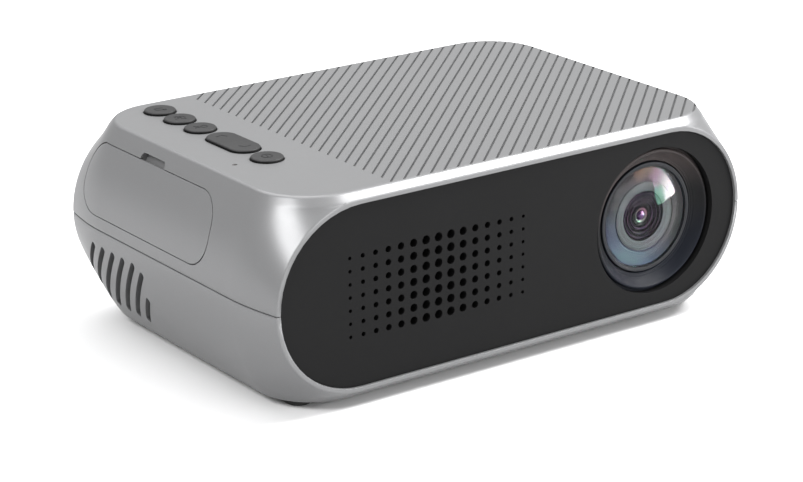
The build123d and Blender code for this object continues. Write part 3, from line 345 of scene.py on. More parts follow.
class Reference:
    """The casing's smooth surface with its own normals, for pieces that are cut from it."""

    def __init__(self, ob):
        bm = bmesh.new()
        bm.from_mesh(ob.data)
        bm.normal_update()
        vn = {}
        for f in bm.faces:
            w = f.calc_area()
            for v in f.verts:
                vn[v.index] = vn.get(v.index, Vector()) + f.normal * w
        tri = bmesh.ops.triangulate(bm, faces=bm.faces)
        self.co = [v.co.copy() for v in bm.verts]
        self.vn = [vn[v.index].normalized() for v in bm.verts]
        self.tris = [tuple(v.index for v in f.verts) for f in bm.faces]
        bm.free()
        self.tree = BVHTree.FromPolygons(self.co, self.tris)

    def dress(self, ob, tol=0.004, angle=32.0):
        me = ob.data
        me.polygons.foreach_set("use_smooth", [True] * len(me.polygons))
        me.set_sharp_from_angle(angle=math.radians(angle))
        normals = [Vector(c.vector) for c in me.corner_normals]
        from mathutils.interpolate import poly_3d_calc
        n_outer = 0
        for p in me.polygons:
            loc, nor, idx, dist = self.tree.find_nearest(p.center)
            if loc is None or dist > tol or nor.dot(p.normal) < 0.97:
                continue
            ok = True
            vals = []
            for li in p.loop_indices:
                co = me.vertices[me.loops[li].vertex_index].co
                loc, nor, idx, dist = self.tree.find_nearest(co)
                if dist > tol * 3:
                    ok = False
                    break
                t = self.tris[idx]
                w = poly_3d_calc([self.co[k] for k in t], loc)
                n = sum((self.vn[k] * wk for k, wk in zip(t, w)), Vector()).normalized()
                vals.append((li, n if n.dot(p.normal) > 0.5 else p.normal.copy()))
            if ok:
                n_outer += 1
                for li, n in vals:
                    normals[li] = n
        me.normals_split_custom_set([tuple(n) for n in normals])
        return n_outer


outer_up = half_body(0.0, name="outer_up")
outer_low = mirrored(half_body(0.0, name="outer_low"))
ref_up, ref_low = Reference(outer_up), Reference(outer_low)


def solid_at(i, low=False):
    ob = half_body(i, zbot=-1.5, bevel=False, cols=12)
    return mirrored(ob) if low else ob


def common_cuts(ob, low=False):
    cut(ob, solid_at(WALL, low))
    for s in (-1, 1):
        cut(ob, prism(stadium(0, 0, 120.6, 39.12), "y", s * 42.0, s * 38.4))
        cut(ob, prism(stadium(0, 0, 118.2, 36.72), "y", s * 38.6, s * 30.0))
    return ob


# ================================================================== materials


class Mat:
    """A procedural material: a Principled shader with small helpers for its colour, roughness and bump."""

    def __init__(self, name):
        self.m = bpy.data.materials.new(name)
        self.m.use_nodes = True
        self.nt = self.m.node_tree
        self.nt.nodes.clear()
        self.out = self.nt.nodes.new("ShaderNodeOutputMaterial")
        self.b = self.nt.nodes.new("ShaderNodeBsdfPrincipled")
        self.nt.links.new(self.b.outputs[0], self.out.inputs[0])
        self.tc = self.nt.nodes.new("ShaderNodeTexCoord")
        self.normal = None

    def link(self, a, b):
        self.nt.links.new(a, b)

    def set(self, **kw):
        names = {"base": "Base Color", "rough": "Roughness", "metal": "Metallic", "spec": "Specular IOR Level", "coat": "Coat Weight",
                 "coat_rough": "Coat Roughness", "ior": "IOR", "trans": "Transmission Weight", "sheen": "Sheen Weight",
                 "film": "Thin Film Thickness", "film_ior": "Thin Film IOR", "alpha": "Alpha", "tint": "Specular Tint",
                 "glow": "Emission Color", "glow_strength": "Emission Strength", "sss": "Subsurface Weight", "aniso": "Anisotropic"}
        for k, v in kw.items():
            s = self.b.inputs[names[k]]
            s.default_value = (*v, 1.0) if isinstance(v, (tuple, list)) and len(v) == 3 and len(s.default_value) == 4 else v
        return self

    def noise(self, scale, detail=3.0, rough=0.5, stretch=None, dist=0.0):
        n = self.nt.nodes.new("ShaderNodeTexNoise")
        n.inputs["Scale"].default_value = scale
        n.inputs["Detail"].default_value = detail
        n.inputs["Roughness"].default_value = rough
        n.inputs["Distortion"].default_value = dist
        if stretch:
            mp = self.nt.nodes.new("ShaderNodeMapping")
            mp.inputs["Scale"].default_value = stretch
            self.link(self.tc.outputs["Object"], mp.inputs["Vector"])
            self.link(mp.outputs[0], n.inputs["Vector"])
        else:
            self.link(self.tc.outputs["Object"], n.inputs["Vector"])
        return n.outputs[0]

    def voronoi(self, scale, feature="F1"):
        n = self.nt.nodes.new("ShaderNodeTexVoronoi")
        n.feature = feature
        n.inputs["Scale"].default_value = scale
        self.link(self.tc.outputs["Object"], n.inputs["Vector"])
        return n.outputs[0]

    def ramp(self, fac, stops):
        r = self.nt.nodes.new("ShaderNodeValToRGB")
        el = r.color_ramp.elements
        while len(el) < len(stops):
            el.new(0.5)
        for e, (p, c) in zip(el, stops):
            e.position = p
            e.color = (*c, 1) if isinstance(c, (tuple, list)) else (c, c, c, 1)
        self.link(fac, r.inputs[0])
        return r.outputs[0]

    def span(self, fac, lo, hi, a=0.0, b=1.0):
        r = self.nt.nodes.new("ShaderNodeMapRange")
        r.inputs["From Min"].default_value, r.inputs["From Max"].default_value = a, b
        r.inputs["To Min"].default_value, r.inputs["To Max"].default_value = lo, hi
        self.link(fac, r.inputs["Value"])
        return r.outputs[0]

    def math(self, op, a, b=None, clamp=False):
        n = self.nt.nodes.new("ShaderNodeMath")
        n.operation, n.use_clamp = op, clamp
        for i, x in enumerate((a, b)):
            if x is None:
                continue
            if isinstance(x, (int, float)):
                n.inputs[i].default_value = x
            else:
                self.link(x, n.inputs[i])
        return n.outputs[0]

    def mix(self, fac, a, b):
        n = self.nt.nodes.new("ShaderNodeMix")
        n.data_type = "RGBA"
        for sock, x in ((n.inputs[0], fac), (n.inputs[6], a), (n.inputs[7], b)):
            if isinstance(x, (int, float)):
                sock.default_value = x
            elif isinstance(x, (tuple, list)):
                sock.default_value = (*x, 1)
            else:
                self.link(x, sock)
        return n.outputs[2]

    def bump(self, height, strength, distance=0.0001):
        n = self.nt.nodes.new("ShaderNodeBump")
        n.inputs["Strength"].default_value = strength
        n.inputs["Distance"].default_value = distance
        self.link(height, n.inputs["Height"])
        if self.normal:
            self.link(self.normal, n.inputs["Normal"])
        self.normal = n.outputs[0]
        self.link(self.normal, self.b.inputs["Normal"])
        return self

    def soft_edges(self, radius, samples=6):
        n = self.nt.nodes.new("ShaderNodeBevel")
        n.samples = samples
        n.inputs["Radius"].default_value = radius
        self.normal = n.outputs[0]
        self.link(self.normal, self.b.inputs["Normal"])
        return self

    def worn(self, base, light, amount=0.35, lo=0.52, hi=0.62):
        # lighter, slightly polished edges where hands rub; returns the colour
        g = self.nt.nodes.new("ShaderNodeNewGeometry")
        edge = self.span(g.outputs["Pointiness"], 0.0, amount, lo, hi)
        return self.mix(edge, base, light)

    def colour(self, sock):
        self.link(sock, self.b.inputs["Base Color"])
        return self

    def rough(self, sock):
        self.link(sock, self.b.inputs["Roughness"])
        return self

    def axis_distance(self, cx, cz):
        # distance from a line along Y, in metres
        sep = self.nt.nodes.new("ShaderNodeSeparateXYZ")
        self.link(self.tc.outputs["Object"], sep.inputs[0])
        dx = self.math("SUBTRACT", sep.outputs["X"], cx)
        dz = self.math("SUBTRACT", sep.outputs["Z"], cz)
        return self.math("SQRT", self.math("ADD", self.math("MULTIPLY", dx, dx), self.math("MULTIPLY", dz, dz)))


def plastic(name, base, rough, grain=2600.0, bump=0.12, spec=0.5, vary=0.12, **kw):
    t = Mat(name).set(rough=rough, spec=spec, **kw)
    lo = tuple(c * (1 - vary) for c in base)
    hi = tuple(min(1, c * (1 + vary)) for c in base)
    t.colour(t.mix(t.noise(90, 4, 0.6), lo, hi))
    t.rough(t.span(t.noise(260, 4, 0.6), rough * 0.86, min(1, rough * 1.14)))
    t.bump(t.noise(grain, 2, 0.5), bump, 0.00004)
    return t.m


def metal(name, base, rough, brushed=None, bump=0.1):
    t = Mat(name).set(metal=1.0, rough=rough)
    lo, hi = tuple(c * 0.86 for c in base), tuple(min(1, c * 1.08) for c in base)
    t.colour(t.mix(t.noise(160, 5, 0.6), lo, hi))
    t.rough(t.span(t.noise(420, 4, 0.6), rough * 0.75, min(1, rough * 1.3)))
    t.bump(t.noise(1400 if brushed else 2400, 2, 0.6, brushed), bump, 0.00003)
    return t.m


# silver lacquer with a fine metal flake under a satin clear coat
def silver_paint(name):
    t = Mat(name).set(metal=0.36, rough=0.31, spec=0.10)
    flake = t.noise(9000, 1, 0.5)
    cloud = t.noise(22, 3, 0.5)
    base = t.mix(cloud, (0.153, 0.154, 0.1565), (0.161, 0.162, 0.1645))
    base = t.mix(t.span(flake, 0.0, 0.35, 0.45, 0.75), base, (0.200, 0.2015, 0.2045))
    t.colour(base)
    t.rough(t.span(t.noise(140, 4, 0.6), 0.31, 0.38))
    t.soft_edges(0.00013, 4)
    t.bump(flake, 0.035, 0.00002)
    t.bump(t.noise(700, 2, 0.5), 0.02, 0.00003)
    return t.m


def fascia_black(name):
    t = Mat(name).set(rough=0.5, spec=0.06)
    t.colour(t.mix(t.noise(60, 3, 0.5), (0.0064, 0.0064, 0.0066), (0.0076, 0.0076, 0.0078)))
    t.rough(t.span(t.noise(380, 4, 0.6), 0.44, 0.56))
    t.soft_edges(0.00012, 4)
    t.bump(t.noise(5200, 2, 0.6), 0.10, 0.00003)
    return t.m


def rings_black(name, base=(0.030, 0.031, 0.034), pitch=0.00021, rough=0.3, strength=0.25, spec=0.35):
    # turned finish: very fine concentric lines about the optical axis
    t = Mat(name).set(rough=rough, spec=spec)
    d = t.axis_distance(LENS_X * 0.001, ZC * 0.001)
    wave = t.math("SINE", t.math("MULTIPLY", d, 2 * math.pi / pitch))
    t.colour(t.mix(t.span(wave, 0.0, 1.0, -1, 1), tuple(c * 0.85 for c in base), tuple(c * 1.25 for c in base)))
    t.rough(t.span(t.noise(700, 3, 0.6), rough * 0.85, rough * 1.2))
    t.bump(wave, strength, 0.00003)
    return t.m


def lens_glass(name, tint, film, ior=1.52, rough=0.0, spec_tint=(1, 1, 1), coat=0.0, film_ior=1.38):
    t = Mat(name).set(trans=1.0, rough=rough, ior=ior, film=film, film_ior=film_ior, tint=spec_tint, coat=coat, coat_rough=0.0)
    t.colour(t.mix(t.noise(40, 2, 0.5), tint, tuple(min(1, c * 1.02) for c in tint)))
    t.rough(t.span(t.noise(900, 3, 0.5), 0.0, 0.012, 0.45, 1.0))
    return t.m


M = {
    "body_silver": silver_paint("silver_lacquer"),
    "panel_charcoal": fascia_black("charcoal_fascia"),
    "black_plastic": plastic("black_moulding", (0.022, 0.022, 0.024), 0.45),
    "ring_black": None,
    "key_grey": plastic("key_grey", (0.030, 0.030, 0.0305), 0.5, 4200, 0.10, 0.10),
    "clear_amber": plastic("light_pipe", (0.035, 0.032, 0.030), 0.3, 800, 0.02, 0.2),
    "smoked": plastic("smoked_window", (0.018, 0.008, 0.010), 0.07, 600, 0.01, 0.6),
    "rubber": plastic("foot_rubber", (0.018, 0.018, 0.018), 0.78, 1800, 0.35, 0.3),
    "steel": metal("zinc_steel", (0.58, 0.59, 0.60), 0.30),
    "brass": metal("turned_brass", (0.75, 0.56, 0.27), 0.26),
    "aluminium": metal("extruded_aluminium", (0.78, 0.79, 0.80), 0.34, (1, 1, 0.05)),
    "lens_glass": lens_glass("coated_glass", (0.97, 0.985, 1.0), 430),
    "lcd_glass": plastic("panel_glass", (0.06, 0.07, 0.09), 0.08, 500, 0.01, 0.6),
    "fresnel": rings_black("fresnel_acrylic", (0.62, 0.64, 0.66), 0.0004, 0.12, 0.5),
    "pcb": plastic("solder_mask", (0.012, 0.10, 0.045), 0.32, 1300, 0.15, 0.5, 0.25),
    "chip": plastic("epoxy_case", (0.025, 0.025, 0.026), 0.55, 3000, 0.2),
    "led": plastic("phosphor", (0.85, 0.72, 0.16), 0.3, 900, 0.05),
    "white_plastic": plastic("white_reflector", (0.80, 0.80, 0.79), 0.4, 1500, 0.05, 0.5, 0.03),
    "mesh": plastic("acoustic_cloth", (0.010, 0.010, 0.011), 0.9, 5200, 0.6, 0.1, 0.4),
    "cone": plastic("pressed_paper", (0.030, 0.030, 0.033), 0.85, 2200, 0.5, 0.2, 0.3),
    "copper": metal("enamelled_wire", (0.72, 0.36, 0.20), 0.3, (1, 1, 12)),
    "battery_wrap": plastic("battery_wrap", (0.055, 0.13, 0.30), 0.28, 700, 0.05, 0.5, 0.08),
    "flex": plastic("polyimide", (0.50, 0.26, 0.05), 0.3, 900, 0.06),
    "socket_steel": metal("stamped_shell", (0.64, 0.65, 0.66), 0.24),
}
# near-black for key and rocker sides: painted shade of the narrow gap round each key
KEY_SIDE_SHADE = plastic("key_side_painted_shade", (0.004, 0.004, 0.004), 0.45, 3000, 0.05, 0.12)
INK = plastic("icon_ink", (0.006, 0.006, 0.007), 0.5, 2500, 0.05, 0.25)
GROOVE = M["body_silver"]
INNER_GREY = rings_black("inner_grey_ring", (0.026, 0.029, 0.034), 0.0011, 0.45, 0.03, 0.2)
BAFFLE = rings_black("baffle_black", (0.0012, 0.0012, 0.0015), 0.0009, 0.40, 0.02, 0.04)
BARREL = rings_black("barrel_satin", (0.008, 0.0092, 0.0120), 0.0010, 0.34, 0.04, 0.25)


def satin_with_painted_sheen(name, base, shift, rough, gain, painted_sheen_c=(2.6, 1.7, 1.5), painted_reflection_c=(1.3, 1.9, 3.0), spec=0.45):
    # black satin with painted sheen and painted reflection in its base colour: lighter and warmer towards the shift
    # direction (a painted warm sheen), lighter and cooler the other way (a painted cool reflection)
    t = Mat(name).set(rough=rough, spec=spec)
    sep = t.nt.nodes.new("ShaderNodeSeparateXYZ")
    t.link(t.tc.outputs["Object"], sep.inputs[0])
    dx = t.math("SUBTRACT", sep.outputs["X"], LENS_X * 0.001)
    dz = t.math("SUBTRACT", sep.outputs["Z"], ZC * 0.001)
    along = t.math("ADD", t.math("MULTIPLY", dx, shift[0] * 1000), t.math("MULTIPLY", dz, shift[1] * 1000))
    painted_reflection = tuple(c * g for c, g in zip(painted_reflection_c, (gain,) * 3))
    painted_sheen = tuple(c * g for c, g in zip(painted_sheen_c, (gain,) * 3))
    lo = t.mix(t.span(along, 0.0, 1.0, -9.0, -1.0), tuple(b * c for b, c in zip(base, painted_reflection)), base)
    t.colour(t.mix(t.span(along, 0.0, 1.0, 2.0, 10.0), lo, tuple(b * c for b, c in zip(base, painted_sheen))))
    d = t.axis_distance(LENS_X * 0.001, ZC * 0.001)
    wave = t.math("SINE", t.math("MULTIPLY", d, 2 * math.pi / 0.0010))
    t.rough(t.span(t.noise(700, 3, 0.6), rough * 0.85, rough * 1.2))
    t.bump(wave, 0.05, 0.00003)
    return t.m


# cone, focus ring and pupil ring: a painted warm sheen on one side and a painted cool reflection on the other, set in
# the base colour
CONE = satin_with_painted_sheen("barrel_cone", (0.0080, 0.0082, 0.0096), (0.5, 0.9), 0.30, 1.0, (1.6, 1.15, 1.2), (1.7, 2.2, 4.2), 0.2)
M["ring_black"] = satin_with_painted_sheen("turned_ring", (0.0060, 0.0062, 0.0070), (-0.15, 1.0), 0.5, 1.0, (5.0, 4.0, 3.5), (0.75, 0.95, 1.45), 0.13)
PURPLE = rings_black("baffle_purple", (0.014, 0.007, 0.019), 0.0009, 0.34, 0.02, 0.10)
PUPIL_RING = satin_with_painted_sheen("pupil_ring", (0.040, 0.031, 0.036), (4.0, 4.0), 0.25, 0.9, (3.0, 1.5, 2.2), (0.9, 1.6, 1.2))
PUPIL = plastic("pupil_glass", (0.014, 0.003, 0.026), 0.05, 900, 0.0, 0.9, 0.1, tint=(0.85, 0.55, 1.0))
GLASS_A = lens_glass("front_glass", (0.97, 0.985, 1.0), 0, 1.13, 0.0, (1.0, 0.86, 0.97))
GLASS_B = lens_glass("front_glass_back", (0.97, 0.985, 1.0), 0, 1.10, 0.0, (0.62, 0.90, 1.0))


def wear(ob, material):
    ob.data.materials.clear()
    ob.data.materials.append(material)
    return ob


for sp in frame["record"]["subparts"]:
    node = NODES.get(sp["node"])
    if node is None:
        continue
    if len(node.material_slots) == 0:
        node.data.materials.append(None)
    for s in node.material_slots:
        s.material = M[sp["material_slot"]]

# ================================================================== the casing


def cover_prism(grow, x0=-66.0, x1=-42.0, inset=0.0, n=14):
    cy, cz, w, h, r = COVER
    return prism(rrect(cy, cz, w + grow, h + grow, r, n), "x", x0, x1)


# upper shell
upper = outer_up.copy()
upper.data = outer_up.data.copy()
scene.collection.objects.link(upper)
common_cuts(upper)
seat = cover_prism(0.2)
cut(seat, solid_at(0.8))
cut(upper, seat)
cut(upper, prism(rrect(9.1, 10.6, 49.8, 13.0, 5.3), "x", -66, -52))
pocket = prism(rrect(10.3, 18.0, 9.6, 3.2, 1.1), "x", -66, -42)
cut(pocket, solid_at(1.6))
cut(upper, pocket)
KEYS = {"button_return": 31.6, "button_source": 23.3, "button_ok": 14.85, "button_power": -11.3}
for y in KEYS.values():
    cut(upper, prism(circle(KEY_X, y, 3.65, 72), "z", 18.5, 24.0))
cut(upper, prism(turned(stadium(KEY_X, 1.73, 15.9, 7.35, 36), 90, KEY_X, 1.73), "z", 18.5, 24.0))
cut(upper, prism(circle(-51.1, -10.7, 0.55, 24), "z", 18.5, 24.0))


def clipped(poly, region):
    # the part of a convex outline inside another convex outline
    out = poly
    m = len(region)
    for i in range(m):
        a, b = region[i], region[(i + 1) % m]
        side = lambda p: (b[0] - a[0]) * (p[1] - a[1]) - (b[1] - a[1]) * (p[0] - a[0])
        nxt = []
        for k in range(len(out)):
            p, q = out[k], out[(k + 1) % len(out)]
            sp_, sq = side(p), side(q)
            if sp_ >= 0:
                nxt.append(p)
            if (sp_ > 0) != (sq > 0) and abs(sp_ - sq) > 1e-12:
                t = sp_ / (sp_ - sq)
                nxt.append((p[0] + (q[0] - p[0]) * t, p[1] + (q[1] - p[1]) * t))
        out = nxt
        if len(out) < 3:
            return []
    tidy = []
    for p in out:
        if not tidy or math.dist(p, tidy[-1]) > 1e-4:
            tidy.append(p)
    return tidy if len(tidy) > 2 else []


field = [p for p in rrect(12.05, 0, 88.3, 78.0, 11.9, 16) if p[0] > 12.0]
field = field[:17] + [(-32.1, 39.0), (-32.1, -39.0)] + field[17:]
groove_tools = []
ga = math.radians(43.7)
cg, sg = math.cos(ga), math.sin(ga)
for k in range(48):
    sx, sy = -32.2, 34.85 - 3.213 * k
    hw = 0.24
    bar = [(sx + sg * hw, sy - cg * hw), (sx + 150 * cg + sg * hw, sy + 150 * sg - cg * hw),
           (sx + 150 * cg - sg * hw, sy + 150 * sg + cg * hw), (sx - sg * hw, sy + cg * hw)]
    poly = clipped(bar, field)
    if poly:
        groove_tools.append(prism(poly, "z", 21.5, 23.0))
cut(upper, joined("grooves", groove_tools))
ref_up.dress(upper)
wear(upper, M["body_silver"])
finish_piece(upper, "casing", "shell_upper", keep_normals=True)
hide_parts("top_shell")

# lower shell, with its columns, wells, slots and foot pockets
lower = outer_low.copy()
lower.data = outer_low.data.copy()
scene.collection.objects.link(lower)
common_cuts(lower, low=True)
SCREWS = [(-50.0, -22.0), (12.0, -30.0), (-30.0, 34.4), (54.0, 25.0)]
FEET = [(-50.0, -31.0), (50.0, -31.0), (-50.0, 31.0), (50.0, 31.0)]
for x, y in SCREWS:
    cut(lower, prism(circle(x, y, 3.3, 48), "z", -21.0, -SEAM - 0.2), "UNION")
cut(lower, prism(circle(0, 0, 6.6, 64), "z", -21.0, -14.0), "UNION")
for x, y in SCREWS:
    cut(lower, prism(circle(x, y, 2.6, 48), "z", -23.0, -6.0))
    cut(lower, prism(circle(x, y, 1.35, 32), "z", -7.0, 1.0))
cut(lower, prism(circle(0, 0, 4.5, 64), "z", -23.0, -15.0))
for x, y in FEET:
    cut(lower, prism(circle(x, y, 3.05, 64), "z", -23.0, -21.4))
slots = [prism(turned(stadium(LENS_X - 14.4 + 3.6 * i, 4.0, 22.0, 1.8, 12), 90, LENS_X - 14.4 + 3.6 * i, 4.0), "z", -24, -19) for i in range(9)]
cut(lower, joined("intake", slots))
vents = []
for k in range(-1, 6):
    z1 = -11.0 if k == -1 else (-4.96 if k == 0 else -3.75)
    z2 = {4: -17.0, 5: -13.0}.get(k, -18.1)
    y1 = 10.14 + 4.25 * k + 0.713 * (-6.74 - z1)
    y2 = 10.14 + 4.25 * k + 0.713 * (-6.74 - z2)
    cy, cz = (y1 + y2) / 2, (z1 + z2) / 2
    poly = turned(stadium(cy, cz, math.hypot(y2 - y1, z2 - z1), 1.6, 14), math.degrees(math.atan2(z2 - z1, y2 - y1)), cy, cz)
    vents.append(prism(poly, "x", -66, -50))
cut(lower, joined("vents", vents))
ref_low.dress(lower)
wear(lower, M["body_silver"])
finish_piece(lower, "casing", "shell_lower", keep_normals=True)
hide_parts("bottom_shell")

# battery cover: skin, rim rib with its tab, and two hooks about the tilt line
skin = outer_up.copy()
skin.data = outer_up.data.copy()
scene.collection.objects.link(skin)
cut(skin, cover_prism(-0.2), "INTERSECT")
cut(skin, solid_at(0.7))
arc = prism([(PIVOT[0] + 15.84 * math.cos(a), PIVOT[1] + 15.84 * math.sin(a)) for a in np.linspace(0, 2 * math.pi, 160, endpoint=False)], "y", -60, 60)
cut(skin, arc, "INTERSECT")
rib = prism(rrect(9.1, 10.2, 42.0, 7.6, 2.4), "x", -66, -42)
cut(rib, prism(rrect(9.1, 10.2, 40.0, 5.6, 1.4), "x", -67, -41))
cut(rib, prism(rrect(10.3, 14.6, 4.0, 2.6, 0.2, 2), "x", -66, -42), "UNION")
shape = half_body(0.35, zbot=-1.5, bevel=False, cols=12)
cut(rib, shape, "INTERSECT")
cut(rib, solid_at(WALL))
cut(skin, rib, "UNION")
for hy in (-4.0, 22.0):
    a1, a2 = math.radians(-26), math.radians(62)
    arcp = [(PIVOT[0] + r * math.cos(a), PIVOT[1] + r * math.sin(a)) for r, rng in ((3.4, np.linspace(a1, a2, 14)), (2.6, np.linspace(a2, a1, 14))) for a in rng]
    hook = prism(arcp, "y", hy, hy + 3.0)
    cut(skin, hook, "UNION")
    cut(skin, prism([(PIVOT[0] + 0.4, PIVOT[1] + 2.05), (PIVOT[0] + 2.1, PIVOT[1] + 2.05), (PIVOT[0] + 2.1, PIVOT[1] + 3.05), (PIVOT[0] + 0.4, PIVOT[1] + 3.05)],
                    "y", hy + 0.05, hy + 2.95), "UNION")
ref_up.dress(skin)
wear(skin, M["body_silver"])
finish_piece(skin, "battery_door", "battery_cover_skin", keep_normals=True)
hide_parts("battery_cover")

drop(outer_up)
drop(outer_low)

# ================================================================== keys: grey caps with rounded edges; their sides are painted near-black as the shade in the gap round each key


# upward faces above z_cut take the grey top; all other faces take the near-black painted shade of the gap
def grey_top_painted_shade_side(ob, top_mat, shade_mat, z_cut):
    me = ob.data
    me.materials.clear()
    me.materials.append(top_mat)
    me.materials.append(shade_mat)
    for p in me.polygons:
        p.material_index = 0 if (p.center.z > z_cut and p.normal.z > 0.35) else 1
    return ob


def stroke(points, w, z0, z1, closed=False, name="stroke"):
    # flat line of width w through the points, mitred at its bends, from z0 up to z1
    n = len(points)
    left, right = [], []
    for i, p in enumerate(points):
        a = points[(i - 1) % n] if (closed or i > 0) else None
        b = points[(i + 1) % n] if (closed or i < n - 1) else None
        d = []
        for q0, q1 in ((a, p), (p, b)):
            if q0 is not None and q1 is not None:
                L = math.dist(q0, q1)
                d.append(((q1[0] - q0[0]) / L, (q1[1] - q0[1]) / L))
        if len(d) == 1:
            d = d * 2
        nx, ny = -(d[0][1] + d[1][1]) / 2, (d[0][0] + d[1][0]) / 2
        k = max(0.35, nx * nx + ny * ny)
        left.append((p[0] + nx / k * w / 2, p[1] + ny / k * w / 2))
        right.append((p[0] - nx / k * w / 2, p[1] - ny / k * w / 2))
    v, f = [], []
    for i in range(n):
        v += [(*left[i], z1), (*right[i], z1), (*left[i], z0), (*right[i], z0)]
    m = n if closed else n - 1
    for i in range(m):
        a, b = 4 * i, 4 * ((i + 1) % n)
        f += [(a, a + 1, b + 1, b), (a + 2, b + 2, b + 3, a + 3), (a, b, b + 2, a + 2), (a + 1, a + 3, b + 3, b + 1)]
    if not closed:
        e = 4 * (n - 1)
        f += [(0, 2, 3, 1), (e, e + 1, e + 3, e + 2)]
    return clean(obj_from(name, v, f), 1e-5)


def arc_pts(cx, cy, r, a0, a1, n=20):
    return [(cx + r * math.cos(math.radians(a0 + (a1 - a0) * i / n)), cy + r * math.sin(math.radians(a0 + (a1 - a0) * i / n))) for i in range(n + 1)]


def place_icon(strokes, x, y, turn, z0, z1, w=0.26):
    # icon drawn upright about the origin in mm, then turned in plan and set at (x, y)
    out = []
    for pts, closed in strokes:
        pts = turned(pts, turn)
        out.append(stroke([(x + px, y + py) for px, py in pts], w, z0, z1, closed))
    return joined("icon", out)


ICON_RETURN = [([(-1.15, 0.75), (0.45, 0.75)] + arc_pts(0.45, 0.0, 0.75, 80, -90, 14) + [(-0.75, -0.75)], False),
               ([(-0.62, 1.28), (-1.18, 0.75), (-0.62, 0.22)], False)]
ICON_SOURCE = [([(-0.1, 1.0), (-1.1, 1.0), (-1.1, -0.95), (0.95, -0.95), (0.95, -0.1)], False),
               ([(1.15, 1.15), (-0.25, -0.2)], False), ([(-0.3, 0.5), (-0.3, -0.25), (0.5, -0.25)], False)]
ICON_OK = [(arc_pts(-0.85, 0.0, 0.72, 0, 342, 19), True), ([(0.35, 0.8), (0.35, -0.8)], False),
           ([(1.25, 0.8), (0.48, 0.02)], False), ([(0.62, 0.16), (1.3, -0.8)], False)]
ICON_POWER = [(arc_pts(0, 0, 1.12, 0, 345, 23), True), ([(0, 0.62), (0, -0.55)], False)]
CHEVRON = [([(-1.2, -0.45), (0.0, 0.42), (1.2, -0.45)], False)]
CAP = 22.66


def round_key(node, body, y, icon, turn):
    base = [(0, 18.75), (1.2, 18.75), (1.2, 19.05), (4.0, 19.05), (4.0, 19.85), (3.5, 19.85), (3.5, 22.25)]
    edge = [(3.5 - 0.42 * (1 - math.cos(math.radians(a))), 22.25 + 0.42 * math.sin(math.radians(a))) for a in range(12, 91, 13)]
    dish = [(2.6, CAP - 0.005), (1.8, CAP - 0.012), (0.9, CAP - 0.018), (0, CAP - 0.02)]
    cap = lathe(base + edge + [(3.08, CAP + 0.005)] + dish, "z", (KEY_X, y, 0), 96, node + "_cap")
    grey_top_painted_shade_side(cap, M["key_grey"], KEY_SIDE_SHADE, 22.4)
    finish_piece(cap, body, node + "_cap", smooth=38)
    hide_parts(node)
    ic = place_icon(icon, KEY_X, y, turn, CAP - 0.15, CAP + 0.03)
    wear(ic, INK)
    finish_piece(ic, body, node + "_icon", smooth=20)


TURN = 163.0
round_key("button_return", "return_key", 31.6, ICON_RETURN, TURN)
round_key("button_source", "source_key", 23.3, ICON_SOURCE, TURN)
round_key("button_ok", "ok_key", 14.85, ICON_OK, TURN)
round_key("button_power", "power_key", -11.3, ICON_POWER, TURN)


def slab_rounded(w, h, z0, z1, r_edge, cx, cy, n=30):
    # stadium slab along Y with a rounded upper edge
    rows = [(0.0, z0), (0.0, z1 - r_edge)]
    rows += [(r_edge * (1 - math.cos(math.radians(a))), z1 - r_edge + r_edge * math.sin(math.radians(a))) for a in range(13, 91, 11)]
    verts, faces = [], []
    m = None
    for inset, z in rows:
        ring = turned(stadium(cx, cy, w - 2 * inset, h - 2 * inset, n), 90, cx, cy)
        m = len(ring)
        verts += [(x, y, z) for x, y in ring]
    for a in range(len(rows) - 1):
        for i in range(m):
            j = (i + 1) % m
            faces.append((a * m + i, a * m + j, (a + 1) * m + j, (a + 1) * m + i))
    faces.append(tuple(range(m)))
    faces.append(tuple(range((len(rows) - 1) * m, len(rows) * m)))
    return clean(obj_from("slab", verts, faces), 1e-5)


rock = slab_rounded(15.4, 7.0, 19.85, CAP, 0.42, KEY_X, 1.73)
cut(rock, prism(rrect(KEY_X, 1.73, 9.2, 5.6, 0.1, 2), "z", 19.05, 20.2), "UNION")
for dy in (5.5, -5.5):
    cut(rock, prism(circle(KEY_X, 1.73 + dy, 1.1, 32), "z", 18.8, 20.2), "UNION")
# rocker sides near-black: painted shade of the gap round it
grey_top_painted_shade_side(rock, M["key_grey"], KEY_SIDE_SHADE, 22.4)
finish_piece(rock, "arrow_rocker", "rocker_cap", smooth=38)
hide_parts("rocker_key")
for nm, dy, t in (("rear", 4.6, -25.0), ("front", -4.6, 155.0)):
    ic = place_icon(CHEVRON, KEY_X, 1.73 + dy, t, CAP - 0.15, CAP + 0.03, 0.34)
    wear(ic, INK)
    finish_piece(ic, "arrow_rocker", "rocker_icon_" + nm, smooth=20)

# ================================================================== lens: turned ring, barrel, bezel and coated glass
AX = (LENS_X, 0, 0)


def ridged(r0, y0, r1, y1, n, amp):
    # fine turned ridges between two (radius, y) ends
    out = []
    for i in range(n + 1):
        t = i / n
        out.append((r0 + (r1 - r0) * t, y0 + (y1 - y0) * t))
        if i < n:
            t2 = (i + 0.7) / n
            out.append((r0 + (r1 - r0) * t2, y0 + (y1 - y0) * t2 - amp))
    return out


